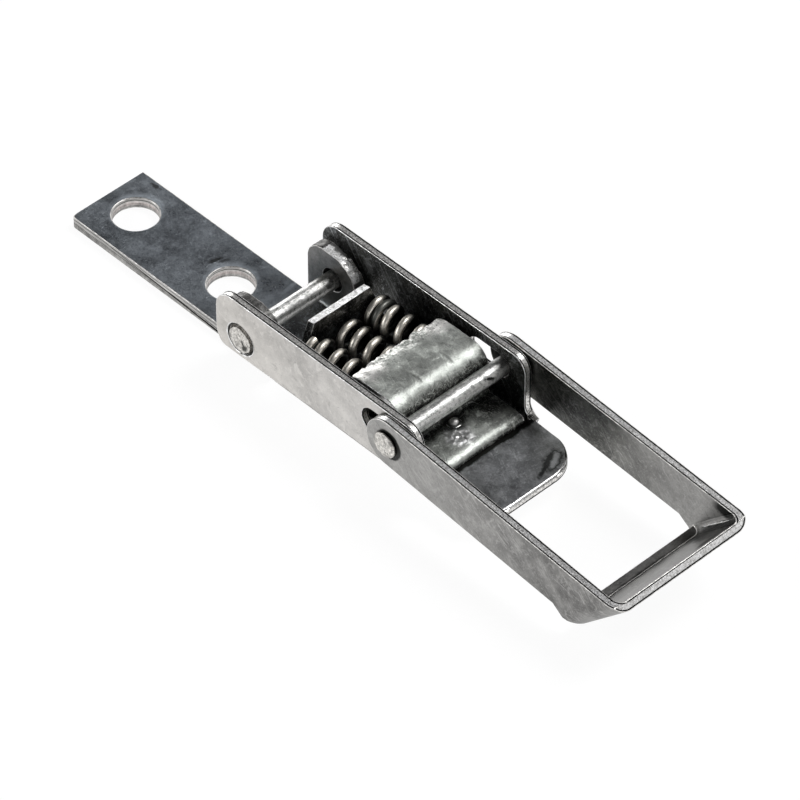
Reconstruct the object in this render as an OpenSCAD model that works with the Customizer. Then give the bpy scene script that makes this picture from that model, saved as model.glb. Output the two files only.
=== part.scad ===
// Spring-loaded over centre toggle latch, shown with its lever open.
// Millimetres, +Z up. The origin is the middle of the two mounting holes,
// on the underside of the base. +X runs from the base to the hook.

/* [Base plate] */
// Distance between the two mounting hole centres
hole_pitch = 15; // [12:0.5:22]
// Diameter of each mounting hole
hole_d = 5.2; // [3.2:0.1:6.2]
// From the outer hole's centre to the base's free end
end_margin = 4.5; // [3.6:0.1:8]
// Width of the base strip
base_w = 10.2; // [9:0.1:10.6]
// Thickness of the base sheet
base_t = 1.5; // [1:0.1:1.6]
// From the inner hole's centre to the pivot
pivot_back = 10.25; // [8:0.05:16]
// Height of the pivot above the mounting surface
pivot_h = 5.7; // [5.6:0.05:7]
// From the pivot to the ears' back edge
ear_back = 3.75; // [3.2:0.05:3.9]
// Radius of the ears' fuller upper back corner
ear_back_r = 2.3; // [1.5:0.1:3.2]
// From the pivot to the base's front end, under the ears
base_front = 2.4; // [2:0.1:3]
// Height of the ears' tops above the pivot, which is also the radius of their round front
ear_top = 3.45; // [3:0.05:3.7]
// Gap between each ear and the lever's side plate
ear_gap = 0.55; // [0.3:0.05:0.8]
// Inside radius of the fold at the foot of each ear
ear_fold_r = 0.5; // [0.3:0.1:1]
// Diameter of the pivot holes in the ears
ear_hole_d = 2.85; // [2.4:0.05:3.4]
// Depth of the sheared lip left on the underside of each mounting hole
hole_break = 0.12; // [0.05:0.01:0.3]

/* [Lever] */
// Thickness of the lever sheet
lever_t = 0.95; // [0.8:0.05:1.1]
// Width across the outer faces of the lever's side plates
lever_w = 16; // [15.6:0.1:18]
// Height of the plates' top edges above the pivot
lever_top = 5; // [4.9:0.1:5.5]
// Depth of the web's underside below the pivot
lever_low = 3.3; // [3:0.1:3.5]
// Outside radius of the folds between web and plates
lever_fold_r = 1.4; // [1.2:0.1:2]
// From the pivot to the plates' rounded back end
lever_back = 3.65; // [3.6:0.05:4]
// Radius of the plates' upper back corner
back_top_r = 2.45; // [1.5:0.05:3]
// Radius of the plates' lower back corner
back_low_r = 3; // [2:0.05:3.2]
// From the slots' front ends to the plates' front edge
plate_lead = 2.3; // [2:0.1:3.5]
// Radius of the plates' upper front corner
front_r = 1.9; // [1:0.1:2.4]
// Radius of the hollow that runs from the plates' front edge to the tab
flare_r = 1.4; // [1:0.1:2.4]
// How far that hollow's arc is sunk below the tab's top face, so that it runs out at an angle
flare_sink = 0.06; // [0.02:0.01:0.1]
// From the plates' front edge to the tip of the thumb tab
tab_len = 8.5; // [7:0.1:11]
// Width of the thumb tab
tab_w = 14.4; // [12:0.1:15]
// Corner radius of the thumb tab
tab_r = 4; // [2:0.1:5]
// From the pivot to the back edge of the web
web_start = 4.9; // [4.7:0.1:5.4]
// From the pivot to the back face of the spring seat
seat_x = 5.95; // [5.7:0.05:6.4]
// Height of the spring seat's top edge above the pivot
seat_top = 4.4; // [3.6:0.1:4.5]
// Width of the spring seat at its top edge
seat_top_w = 7.9; // [6:0.1:9]
// Width of the spring seat where it leaves the web
seat_root_w = 12; // [11:0.1:12.6]
// Width of the slit on each side of the spring seat's fold
relief_w = 0.4; // [0.3:0.05:0.6]

/* [Pins] */
// Diameter of the pivot pin and of the bail pin
pin_d = 2.05; // [1.8:0.05:2.2]
// Diameter of the pivot pin's flush riveted ends
rivet_d = 3.14; // [2.8:0.02:3.3]
// Diameter of the countersink round each riveted end
sink_d = 4; // [3.6:0.1:4.4]
// Depth of that countersink
sink_depth = 0.6; // [0.4:0.05:0.7]
// Diameter of the bail pin's heads
head_d = 3; // [2.6:0.1:3.6]
// How far each bail pin head stands out of the bail
head_h = 0.42; // [0.3:0.01:0.7]
// Width of the bevel round each bail pin head
head_bevel = 0.16; // [0.1:0.01:0.25]

/* [Slots and travel] */
// From the pivot to the bail pin, along the lever
bail_pin_x = 23.05; // [22.6:0.05:23.6]
// Height of the bail pin and of its slots above the pivot
slot_up = 2.2; // [2:0.05:2.4]
// Width of the slots
slot_w = 3.05; // [2.6:0.05:3.2]
// How far the bail pin can be pulled back against the springs
travel = 3.85; // [3:0.05:4.2]

/* [Saddle] */
// Thickness of the saddle sheet
saddle_t = 0.95; // [0.8:0.05:1.1]
// Gap between the saddle and each side plate of the lever
saddle_gap = 0.85; // [0.4:0.05:1.4]
// Height of the saddle's top face above the pivot
saddle_top = 4.3; // [4.2:0.05:4.6]
// From the pivot to the saddle's free edge over the springs
saddle_back = 14.5; // [13:0.1:16]
// Outside radius of the saddle's upper fold
saddle_fold_r = 2.2; // [1.5:0.1:2.4]
// Outside radius of the saddle's lower fold
foot_fold_r = 1.45; // [1.3:0.05:1.8]
// From the saddle's wall to the front edge of its foot
foot_len = 5.3; // [4.6:0.1:6]
// Radius rolled on the foot's front edge
foot_roll_r = 0.7; // [0.4:0.05:0.8]
// Length of the two creases pressed in the saddle's top
crease_len = 2.2; // [1:0.1:3]
// Depth of those creases at the fold; they run out towards the free edge
crease_depth = 0.12; // [0.06:0.02:0.3]
// Radius of the pip pressed in the foot
pip_r = 0.7; // [0.5:0.05:1]
// Height of the pip
pip_h = 0.45; // [0.2:0.05:0.6]
// Outside radius of the raised ring on the foot
ring_r = 1.05; // [0.8:0.05:1.3]
// Height of the raised ring
ring_h = 0.28; // [0.15:0.01:0.4]

/* [Springs] */
// Wire diameter of the three springs
wire_d = 0.87; // [0.7:0.01:0.9]
// Outside diameter of the springs
coil_d = 4.1; // [3.8:0.05:4.2]
// Sideways distance between neighbouring springs
spring_gap = 4.3; // [4.28:0.01:4.5]
// Height of the outer springs' centre lines above the pivot
outer_up = 1; // [0.4:0.02:1.2]
// Height of the middle spring's centre line above the pivot
middle_up = 0.6; // [-0.2:0.02:1]
// Spacing of the coils that lie against each other
closed_pitch = 0.93; // [0.92:0.01:1.1]
// Spacing of the open coils, before it is fitted to a whole end
open_pitch = 2; // [1.7:0.05:2.3]

/* [Bail] */
// Thickness of the bail sheet
bail_t = 1; // [0.8:0.05:1.2]
// Height of the bail's arms
arm_h = 5.8; // [5:0.1:6.4]
// How much further out each arm stands at the ramp than at the pin
arm_splay = 0.22; // [0:0.02:0.5]
// From the bail pin to the lip's free edge
lip_in = 26.3; // [26:0.1:27]
// Width of the flat lip
lip_w = 1.1; // [0.8:0.05:1.6]
// Slope of the hook's ramp
ramp_tilt = 51; // [45:0.2:55]
// Outside radius of the folds between the arms and the ramp
bail_fold_r = 1.9; // [1.4:0.1:2.4]
// How far the bail hangs below level
bail_dip = 4.5; // [3.6:0.1:4.8]

/* [Fits] */
// Gap round the bail pin in the bail's arms
pin_run = 0.05; // [0.03:0.01:0.1]
// Gap round the riveted pivot pin in the lever
pin_set = 0.02; // [0.01:0.01:0.03]
// Gap between each lever plate and the bail's arm
side_gap = 0.25; // [0.1:0.01:0.3]
// Gap under the bail pin's heads
head_gap = 0.05; // [0.03:0.01:0.1]
// Gap between parts that bear on each other
touch = 0.02; // [0.01:0.01:0.04]
// Gap between the saddle's foot and the lever's web
slide_gap = 0.06; // [0.04:0.01:0.1]

/* [Hidden] */
$fn = 64;
eps = 0.01;

pivot_x = hole_pitch / 2 + pivot_back;
pin_r = pin_d / 2;
lever_out = lever_w / 2;
lever_in = lever_out - lever_t;
ear_out = lever_in - ear_gap;
ear_in = ear_out - base_t;
web_top = lever_t - lever_low;
slot_r = slot_w / 2;
slot_back = bail_pin_x - travel - pin_r + slot_r;
slot_front = bail_pin_x + pin_r + touch - slot_r;
plate_len = slot_front + slot_r + plate_lead;
tab_reach = plate_len + tab_len;
wall_front = bail_pin_x - pin_r - touch;
wall_back = wall_front - saddle_t;
saddle_w = 2 * (lever_in - saddle_gap);
foot_reach = wall_front + foot_len;
foot_low = web_top + slide_gap;
foot_top = foot_low + saddle_t;
seat_face = seat_x + lever_t;
bail_in = lever_out + side_gap;
bail_out = bail_in + bail_t;
arm_half = arm_h / 2;
crease_x = lip_in + lip_w;
ramp_top_x = crease_x + arm_h / tan(ramp_tilt);
splay_turn = atan(arm_splay / (crease_x * sin(ramp_tilt)));
wire_r = wire_d / 2;
coil_r = (coil_d - wire_d) / 2;
spring_from = seat_face + touch + wire_r;
spring_to = wall_back - touch - wire_r;
fold_sink = 0.006;
wire_sides = 8;
turn_steps = 20;

// Everything on the lever is drawn with the pivot at the origin.
module at_pivot() {
    translate([pivot_x, 0, pivot_h]) children();
}

// A side view drawn in X and Z, made into a solid that is width wide across Y.
module across(width) {
    rotate([90, 0, 0]) linear_extrude(height = width, center = true) children();
}

// What is cut from a square corner at the origin to round it. The corner's sides run along -x and -y.
module corner_waste(r) {
    difference() {
        translate([-r, -r]) square([r + 1, r + 1]);
        translate([-r, -r]) circle(r);
    }
}

// A pin's shaft or a hole, centred across Y.
module cross_rod(r, width) {
    rotate([90, 0, 0]) cylinder(r = r, h = width, center = true);
}

// A channel's end view in Y and Z: open at the top, folded with outside radius r.
module channel(outer, inner, low, top, r) {
    t = outer - inner;
    difference() {
        union() {
            translate([-outer, low + r]) square([2 * outer, top - low - r]);
            translate([r - outer, low]) square([2 * (outer - r), r + eps]);
            for (s = [-1, 1]) translate([s * (outer - r), low + r]) circle(r);
        }
        translate([-inner, low + r]) square([2 * inner, top - low]);
        translate([r - outer, low + t]) square([2 * (outer - r), top - low]);
        for (s = [-1, 1]) translate([s * (outer - r), low + r]) circle(r - t);
    }
}

// A channel run along X between two positions.
module channel_run(from, to, outer, inner, low, top, r) {
    translate([from, 0, 0])
        rotate([90, 0, 90])
            linear_extrude(height = to - from) channel(outer, inner, low, top, r);
}

// An ear seen from the side: round in front, fuller at the back, narrower at its foot.
module ear_side() {
    difference() {
        union() {
            circle(ear_top);
            polygon([[-ear_back, -pivot_h], [base_front, -pivot_h], [base_front, base_t - pivot_h],
                [ear_top * cos(25), -ear_top * sin(25)], [0, 0], [0, ear_top], [-ear_back, ear_top]]);
        }
        translate([-ear_back, ear_top]) mirror([1, 0]) corner_waste(ear_back_r);
    }
}

module base_plate() {
    color([0.42, 0.45, 0.48]) difference() {
        union() {
            translate([-hole_pitch / 2 - end_margin, -base_w / 2, 0])
                cube([end_margin + hole_pitch + pivot_back + base_front, base_w, base_t]);
            intersection() {
                channel_run(pivot_x - ear_back, pivot_x + ear_top + 1, ear_out, ear_in, 0, pivot_h + ear_top + 1, base_t + ear_fold_r);
                at_pivot() across(2 * ear_out + 2) ear_side();
            }
        }
        for (s = [-1, 1]) {
            translate([s * hole_pitch / 2, 0, -1]) cylinder(d = hole_d, h = base_t + 2);
            translate([s * hole_pitch / 2, 0, -eps])
                cylinder(d1 = hole_d + 2 * hole_break, d2 = hole_d, h = hole_break + eps);
        }
        at_pivot() cross_rod(ear_hole_d / 2, 2 * ear_out + 2);
    }
}

// The lever's side plates with their folds, seen from the side.
module lever_side() {
    difference() {
        translate([-lever_back, -lever_low])
            square([lever_back + plate_len + flare_r, lever_low + lever_top]);
        translate([-lever_back, lever_top]) mirror([1, 0]) corner_waste(back_top_r);
        translate([-lever_back, -lever_low]) rotate(180) corner_waste(back_low_r);
        translate([plate_len, lever_top]) corner_waste(front_r);
        translate([plate_len, web_top + flare_r - flare_sink]) square([flare_r + 1, lever_top + lever_low]);
        translate([plate_len + flare_r, web_top + flare_r - flare_sink]) circle(flare_r);
        polygon([[-lever_back - 1, -lever_low - 1], [-lever_back - 1, web_top - lever_t * 0.8],
            [web_start, web_top - lever_t * 0.06], [web_start, -lever_low - 1]]);
    }
}

// The thumb tab seen from above.
module tab_top() {
    difference() {
        translate([plate_len - 1, -tab_w / 2]) square([tab_reach - plate_len + 1, tab_w]);
        for (s = [0, 1]) mirror([0, s]) translate([tab_reach, tab_w / 2]) corner_waste(tab_r);
    }
}

// The spring seat: the web's end folded up, seen from the side.
module seat_side() {
    difference() {
        translate([seat_x, -lever_low]) square([lever_fold_r + relief_w, lever_low + seat_top]);
        translate([seat_face, -lever_low + lever_fold_r]) square([lever_fold_r + relief_w, lever_low + seat_top]);
        translate([seat_x + lever_fold_r, web_top]) square([lever_fold_r + relief_w, lever_low + seat_top]);
        translate([seat_x + lever_fold_r, -lever_low + lever_fold_r]) circle(lever_fold_r - lever_t);
        translate([seat_x, -lever_low]) rotate(180) corner_waste(lever_fold_r);
    }
}

// The spring seat seen from the end: it narrows towards its top.
module seat_end() {
    polygon([[-seat_root_w / 2, -lever_low - 1], [-seat_root_w / 2, web_top + lever_fold_r],
        [-seat_top_w / 2, seat_top + eps], [seat_top_w / 2, seat_top + eps],
        [seat_root_w / 2, web_top + lever_fold_r], [seat_root_w / 2, -lever_low - 1]]);
}

module slot_hole() {
    rotate([90, 0, 0]) linear_extrude(height = lever_w + 2, center = true) {
        translate([slot_back, slot_up]) circle(slot_r);
        translate([slot_front, slot_up]) circle(slot_r);
        translate([slot_back, slot_up - slot_r]) square([slot_front - slot_back, slot_w]);
    }
}

module lever() {
    seat_cut = seat_root_w / 2 + relief_w;
    color([0.62, 0.62, 0.61]) at_pivot() {
        difference() {
            intersection() {
                channel_run(-lever_back - 1, plate_len + flare_r + 1, lever_out, lever_in, -lever_low, lever_top + 1, lever_fold_r);
                across(lever_w + 2) lever_side();
            }
            slot_hole();
            cross_rod(pin_r + pin_set, lever_w + 2);
            for (s = [0, 1]) mirror([0, s, 0])
                translate([0, lever_out + eps, 0]) rotate([90, 0, 0])
                    cylinder(d1 = sink_d + 2 * eps, d2 = sink_d - 2 * sink_depth, h = sink_depth + eps);
            translate([-lever_back - 1, lever_fold_r - lever_out, -lever_low - 1])
                cube([lever_back + web_start + 1, 2 * (lever_out - lever_fold_r), lever_t + 1 + eps]);
            translate([web_start - 1, -seat_cut, -lever_low - 1])
                cube([seat_x + lever_fold_r - web_start + 1, 2 * seat_cut, lever_t + 1 + eps]);
        }
        translate([0, 0, -lever_low]) linear_extrude(height = lever_t) tab_top();
        intersection() {
            across(seat_root_w) seat_side();
            rotate([90, 0, 90]) linear_extrude(height = seat_x + lever_fold_r + 1) seat_end();
        }
    }
}

module pivot_pin() {
    color([0.8, 0.8, 0.79]) at_pivot() {
        cross_rod(pin_r, lever_w - sink_depth);
        for (s = [0, 1]) mirror([0, s, 0])
            translate([0, lever_out, 0]) rotate([90, 0, 0])
                cylinder(d1 = rivet_d, d2 = pin_d, h = (rivet_d - pin_d) / 2);
    }
}

module bail_pin() {
    color([0.8, 0.8, 0.79]) at_pivot() translate([bail_pin_x, 0, slot_up]) {
        cross_rod(pin_r, 2 * (bail_out + head_gap + head_h / 2));
        for (s = [0, 1]) mirror([0, s, 0]) translate([0, bail_out + head_gap, 0]) rotate([-90, 0, 0]) {
            cylinder(d = head_d, h = head_h - head_bevel);
            translate([0, 0, head_h - head_bevel])
                cylinder(d1 = head_d, d2 = head_d - 2 * head_bevel, h = head_bevel);
        }
    }
}

// The saddle seen from the side: over the springs, down behind the pin, then forward as a foot.
module saddle_side() {
    foot_end = foot_reach - wall_back;
    difference() {
        translate([saddle_back, saddle_top - saddle_fold_r]) square([wall_front - saddle_back, saddle_fold_r]);
        translate([saddle_back - 1, saddle_top - saddle_fold_r - 1])
            square([wall_front - saddle_fold_r - saddle_back + 1, saddle_fold_r - saddle_t + 1]);
        translate([wall_front, saddle_top]) corner_waste(saddle_fold_r);
        translate([wall_front - saddle_fold_r, saddle_top - saddle_fold_r]) circle(saddle_fold_r - saddle_t);
    }
    translate([wall_back, foot_low + foot_fold_r])
        square([saddle_t, saddle_top - saddle_fold_r - foot_low - foot_fold_r + eps]);
    difference() {
        translate([wall_back, foot_low]) square([foot_end, foot_fold_r]);
        translate([wall_back + foot_fold_r, foot_top]) square([foot_end, foot_fold_r]);
        translate([wall_front, foot_low + foot_fold_r]) square([foot_end, 1]);
        translate([wall_back + foot_fold_r, foot_low + foot_fold_r]) circle(foot_fold_r - saddle_t);
        translate([wall_back, foot_low]) rotate(180) corner_waste(foot_fold_r);
        translate([foot_reach, foot_top]) corner_waste(foot_roll_r);
    }
}

module saddle() {
    crease_end = wall_front - saddle_fold_r + crease_len * 0.3;
    crease_r = 2 * crease_depth;
    color([0.55, 0.57, 0.55]) at_pivot() {
        difference() {
            across(saddle_w) saddle_side();
            for (y = [-saddle_w * 0.155, saddle_w * 0.185])
                translate([crease_end, y, saddle_top + crease_r - crease_depth])
                    rotate([0, -90 - atan(crease_depth / crease_len), 0])
                        translate([0, 0, -1]) cylinder(r = crease_r, h = crease_len + 2, $fn = 24);
        }
        translate([bail_pin_x - pin_r * 0.75, 0.4, foot_top - pip_r + pip_h]) intersection() {
            sphere(pip_r);
            translate([0, 0, pip_r]) cube([2 * pip_r, 2 * pip_r, 2 * pip_h + 0.2], center = true);
        }
        translate([bail_pin_x + pin_d, -0.6, foot_top - eps]) difference() {
            cylinder(r = ring_r, h = ring_h + eps);
            translate([0, 0, eps]) cylinder(r = ring_r * 0.55, h = ring_h + 1);
        }
    }
}

// The bail with its pin at the origin and its arms level.
// Looking along the ramp's slope, it is a U with folded corners, whose arms close in a little towards the pin.
// Each arm starts a hair inside its fold's arc, so that the two meet at a clear angle.
module bail_fill(t, reach) {
    r = bail_fold_r - t;
    side = bail_out + arm_splay - bail_fold_r;
    lean = [-sin(splay_turn), cos(splay_turn)];
    run = [-cos(splay_turn), -sin(splay_turn)];
    edge = [-bail_fold_r, side] + (r - fold_sink) * lean;
    end = edge + reach * run;
    polygon([end, edge, [-bail_fold_r, side], [-bail_fold_r, -side], [edge[0], -edge[1]], [end[0], -end[1]]]);
    translate([-bail_fold_r - eps, -side]) square([r + eps, 2 * side]);
    for (s = [-1, 1]) translate([-bail_fold_r, s * side]) circle(r);
}

module bail_u(t) {
    reach = lip_in + arm_h;
    difference() {
        bail_fill(0, reach);
        if (t > 0) bail_fill(t, reach + 1);
    }
}

// The U drawn out along the ramp. Its outer face passes below the crease by the sheet's thickness.
module ramp_run(t) {
    span = 3 * (arm_h + lip_in);
    translate([crease_x, 0, -arm_half])
        rotate([0, 90 - ramp_tilt, 0])
            translate([bail_t, 0, -span / 2]) linear_extrude(height = span) bail_u(t);
}

// The arms seen from the side, with the deeper part that carries the lip. The ramp's top edge is cut square to the ramp.
module arm_side() {
    ramp_end = crease_x + 2 * arm_h;
    circle(arm_half);
    polygon([[0, -arm_half], [lip_in - 2 * bail_t, -arm_half], [lip_in - bail_t / 2, -arm_half - bail_t * 0.9],
        [lip_in + bail_t / 2, -arm_half - bail_t], [ramp_end, -arm_half - bail_t],
        [ramp_top_x + 3 * bail_t * sin(ramp_tilt), arm_half - 3 * bail_t * cos(ramp_tilt)],
        [ramp_top_x, arm_half], [0, arm_half]]);
}

// The lip with the fold that joins it to the ramp, seen from the side.
module lip_side() {
    translate([lip_in, -arm_half - bail_t]) square([lip_w, bail_t]);
    intersection() {
        translate([crease_x, -arm_half]) circle(bail_t);
        polygon([[crease_x - eps, -arm_half], [crease_x - eps, -arm_half - 2 * bail_t],
            [crease_x + 2 * bail_t, -arm_half - 2 * bail_t],
            [crease_x + 2 * bail_t * sin(ramp_tilt), -arm_half - 2 * bail_t * cos(ramp_tilt)]]);
    }
}

module bail() {
    color([0.58, 0.58, 0.57]) at_pivot() translate([bail_pin_x, 0, slot_up]) rotate([0, bail_dip, 0]) difference() {
        union() {
            intersection() {
                ramp_run(bail_t);
                difference() {
                    across(2 * bail_out + 3) arm_side();
                    translate([crease_x, -bail_out - 2, -arm_half - 2 * bail_t])
                        cube([2 * arm_h, 2 * bail_out + 4, 2 * bail_t - bail_t * (1 - cos(ramp_tilt)) - bail_t * cos(ramp_tilt)]);
                }
            }
            intersection() {
                ramp_run(0);
                across(2 * bail_out + 3) lip_side();
            }
        }
        cross_rod(pin_r + pin_run, 2 * bail_out + 3);
    }
}

// A coil spring along X, swept as a ring of wire_sides corners along its centre line.
// Both ends have tight turns; the open turns between them fill what is left.
function wind(t, turns, tight, open) =
    spring_from + closed_pitch * min(t, tight) + open * max(0, min(t, turns - 1) - tight) + closed_pitch * max(0, t - turns + 1);

module spring(y, z, phase, tight) {
    free = spring_to - spring_from - closed_pitch * (tight + 1);
    open_turns = round(4 * free / open_pitch) / 4;
    turns = open_turns + tight + 1;
    open = free / open_turns;
    steps = round(turns * turn_steps);
    points = [for (i = [0:steps], k = [0:wire_sides - 1])
        let (t = i * turns / steps, a = phase + 360 * t, b = 360 * (k + 0.5) / wire_sides, r = coil_r + wire_r * cos(b))
            [wind(t, turns, tight, open) + wire_r * sin(b), r * cos(a), r * sin(a)]];
    sides = [for (i = [0:steps - 1], k = [0:wire_sides - 1])
        let (n = (k + 1) % wire_sides, p = i * wire_sides)
            [p + k, p + n, p + wire_sides + n, p + wire_sides + k]];
    first = [for (k = [0:wire_sides - 1]) wire_sides - 1 - k];
    last = [for (k = [0:wire_sides - 1]) steps * wire_sides + k];
    color([0.35, 0.35, 0.35]) at_pivot() translate([0, y, z])
        polyhedron(points = points, faces = concat(sides, [first], [last]), convexity = 12);
}

module spring_near() {
    spring(-spring_gap, outer_up, 90, 0.75);
}

module spring_middle() {
    spring(0, middle_up, 235, 0.9);
}

module spring_far() {
    spring(spring_gap, outer_up, 350, 2);
}

base_plate();
lever();
pivot_pin();
bail_pin();
saddle();
bail();
spring_near();
spring_middle();
spring_far();
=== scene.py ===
"""Looks of the over centre toggle latch: sheet metal with sheared rims, a dented saddle, wound springs and a plain studio."""

import functools
import math

import bmesh
import bpy
from bpy.props import FloatProperty, FloatVectorProperty, IntProperty, PointerProperty
from mathutils import Matrix, Vector
from mathutils import noise as wave
from mathutils.bvhtree import BVHTree


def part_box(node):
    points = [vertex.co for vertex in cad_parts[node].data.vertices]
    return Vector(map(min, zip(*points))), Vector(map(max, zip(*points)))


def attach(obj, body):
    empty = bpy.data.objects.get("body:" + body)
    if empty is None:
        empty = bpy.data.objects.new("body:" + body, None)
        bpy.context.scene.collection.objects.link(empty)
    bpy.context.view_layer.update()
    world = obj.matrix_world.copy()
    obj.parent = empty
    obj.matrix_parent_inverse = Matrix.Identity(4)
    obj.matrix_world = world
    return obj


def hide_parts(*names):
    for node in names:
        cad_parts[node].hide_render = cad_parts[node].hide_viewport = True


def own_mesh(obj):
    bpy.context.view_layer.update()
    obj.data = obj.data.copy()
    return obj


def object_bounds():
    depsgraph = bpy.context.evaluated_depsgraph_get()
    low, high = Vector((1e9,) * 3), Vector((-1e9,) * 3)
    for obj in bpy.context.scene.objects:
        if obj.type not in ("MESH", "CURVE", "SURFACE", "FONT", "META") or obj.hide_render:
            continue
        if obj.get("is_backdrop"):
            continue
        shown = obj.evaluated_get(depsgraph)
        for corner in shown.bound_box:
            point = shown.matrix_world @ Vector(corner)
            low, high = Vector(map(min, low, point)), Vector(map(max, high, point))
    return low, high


bl_info = {
    "name": "Toggle Latch Looks",
    "version": (1, 0, 0),
    "blender": (4, 5, 0),
    "location": "View3D > Sidebar > Latch",
    "description": "Dresses the over centre toggle latch: sheared rims, dented saddle, wound springs, steel finishes and a studio",
    "category": "Object",
}

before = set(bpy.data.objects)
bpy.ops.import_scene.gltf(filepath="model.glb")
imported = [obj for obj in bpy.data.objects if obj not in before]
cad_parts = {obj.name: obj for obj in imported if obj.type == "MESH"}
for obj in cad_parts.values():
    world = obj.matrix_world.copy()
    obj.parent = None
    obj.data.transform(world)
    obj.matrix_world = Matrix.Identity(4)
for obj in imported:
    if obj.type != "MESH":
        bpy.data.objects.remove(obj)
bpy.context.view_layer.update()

MM = 0.001
PIVOT = Vector((17.75, 0.0, 5.7)) * MM
BAIL_PIN = Vector((40.8, 0.0, 7.9)) * MM
HOLES = (-7.5, 7.5)  # where the mounting holes are along the strip, in millimetres
BASE_SHEET, LEVER_SHEET, BAIL_SHEET = 1.5 * MM, 0.95 * MM, 1.0 * MM
TAB_TOP = 3.35  # height of the thumb tab's top, in millimetres
LENGTH = {"unit": "LENGTH"}
COLOUR = {"size": 3, "subtype": "COLOR", "min": 0, "max": 1}


class LatchSizes(bpy.types.PropertyGroup):
    """Sizes of what is added to the frame"""

    rolled_edge: FloatProperty(
        name="Rolled edge", description="Width of the small round on every sheet edge",
        default=0.08 * MM, min=0.01 * MM, max=0.2 * MM, **LENGTH)
    rim_line: FloatProperty(
        name="Rim line", description="Width of the smooth line along each side of a cut rim",
        default=0.23 * MM, min=0.05 * MM, max=0.3 * MM, **LENGTH)
    rim_sink: FloatProperty(
        name="Rim sink", description="How far the middle of a cut rim lies below its sides",
        default=0.035 * MM, min=0.0, max=0.1 * MM, **LENGTH)
    hole_round: FloatProperty(
        name="Hole round", description="Round pressed in the top edge of each mounting hole",
        default=0.14 * MM, min=0.05 * MM, max=0.6 * MM, **LENGTH)
    corner_round: FloatProperty(
        name="Corner round", description="Round of the base strip's corner upright",
        default=0.42 * MM, min=0.1 * MM, max=1.5 * MM, **LENGTH)
    tab_round: FloatProperty(
        name="Tab round", description="Round along the thumb tab's top edge",
        default=0.34 * MM, min=0.05 * MM, max=0.45 * MM, **LENGTH)
    torn: FloatProperty(
        name="Torn ear", description="Height of the roughness on the ears' torn rims",
        default=0.2 * MM, min=0.0, max=0.3 * MM, **LENGTH)
    crumple: FloatProperty(
        name="Crumple", description="Height of the dents at the saddle's free edge",
        default=0.2 * MM, min=0.0, max=0.4 * MM, **LENGTH)
    wire: FloatProperty(
        name="Spring wire", description="Diameter of the spring wire",
        default=0.87 * MM, min=0.5 * MM, max=1.0 * MM, **LENGTH)
    coil: FloatProperty(
        name="Spring diameter", description="Outside diameter of each spring",
        default=4.1 * MM, min=3.5 * MM, max=4.3 * MM, **LENGTH)
    closed_pitch: FloatProperty(
        name="Closed pitch", description="Spacing of coils that lie against each other",
        default=0.93 * MM, min=0.88 * MM, max=1.2 * MM, **LENGTH)
    open_pitch: FloatProperty(
        name="Open pitch", description="Spacing of the open coils",
        default=2.0 * MM, min=1.2 * MM, max=2.6 * MM, **LENGTH)
    wire_sides: IntProperty(name="Wire sides", description="Corners round the wire", default=16, min=6, max=32)
    turn_steps: IntProperty(
        name="Steps in a turn", description="Points along each turn of wire", default=44, min=12, max=96)
    floor: FloatProperty(
        name="Floor radius", description="Radius of the studio floor", default=0.9, min=0.3, max=3.0, **LENGTH)


class LatchColours(bpy.types.PropertyGroup):
    """Colours of the finishes"""

    base: FloatVectorProperty(
        name="Base steel", description="Colour of the base plate", default=(0.285, 0.312, 0.34), **COLOUR)
    lever: FloatVectorProperty(
        name="Lever steel", description="Colour of the lever's outside", default=(0.56, 0.545, 0.525), **COLOUR)
    tab: FloatVectorProperty(
        name="Tab steel", description="Colour of the lever's oiled top and inside", default=(0.44, 0.45, 0.46), **COLOUR)
    bail: FloatVectorProperty(
        name="Bail steel", description="Colour of the bail", default=(0.36, 0.355, 0.345), **COLOUR)
    saddle: FloatVectorProperty(
        name="Saddle steel", description="Colour of the saddle", default=(0.5, 0.52, 0.49), **COLOUR)
    pin: FloatVectorProperty(
        name="Pin steel", description="Colour of both pins", default=(0.6, 0.6, 0.585), **COLOUR)
    sheared: FloatVectorProperty(
        name="Sheared steel", description="Colour of torn cut edges", default=(0.68, 0.67, 0.65), **COLOUR)
    # Near black: painted shade on the smooth line beside each torn rim.
    shaded_burnish: FloatVectorProperty(
        name="Burnished steel", description="Colour of the dark line beside a torn edge", default=(0.02, 0.02, 0.02), **COLOUR)
    bright: FloatVectorProperty(
        name="Bright steel", description="Colour of freshly torn steel", default=(0.9, 0.9, 0.88), **COLOUR)
    # Dark colour for real stains and, in corners, joints and recesses, for painted shade.
    oil_and_shade: FloatVectorProperty(
        name="Old oil", description="Colour of the dark film in corners", default=(0.06, 0.061, 0.056), **COLOUR)
    spring: FloatVectorProperty(
        name="Spring steel", description="Colour of the springs", default=(0.7, 0.665, 0.6), **COLOUR)
    floor: FloatVectorProperty(
        name="Floor", description="Colour of the floor and backdrop", default=(0.95, 0.95, 0.95), **COLOUR)


# ---------------------------------------------------------------- materials


def degrees(turn):
    """Angles in degrees, given in radians."""
    return [math.radians(a) for a in turn]


def metres(lengths):
    return [v * MM for v in lengths]


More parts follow.
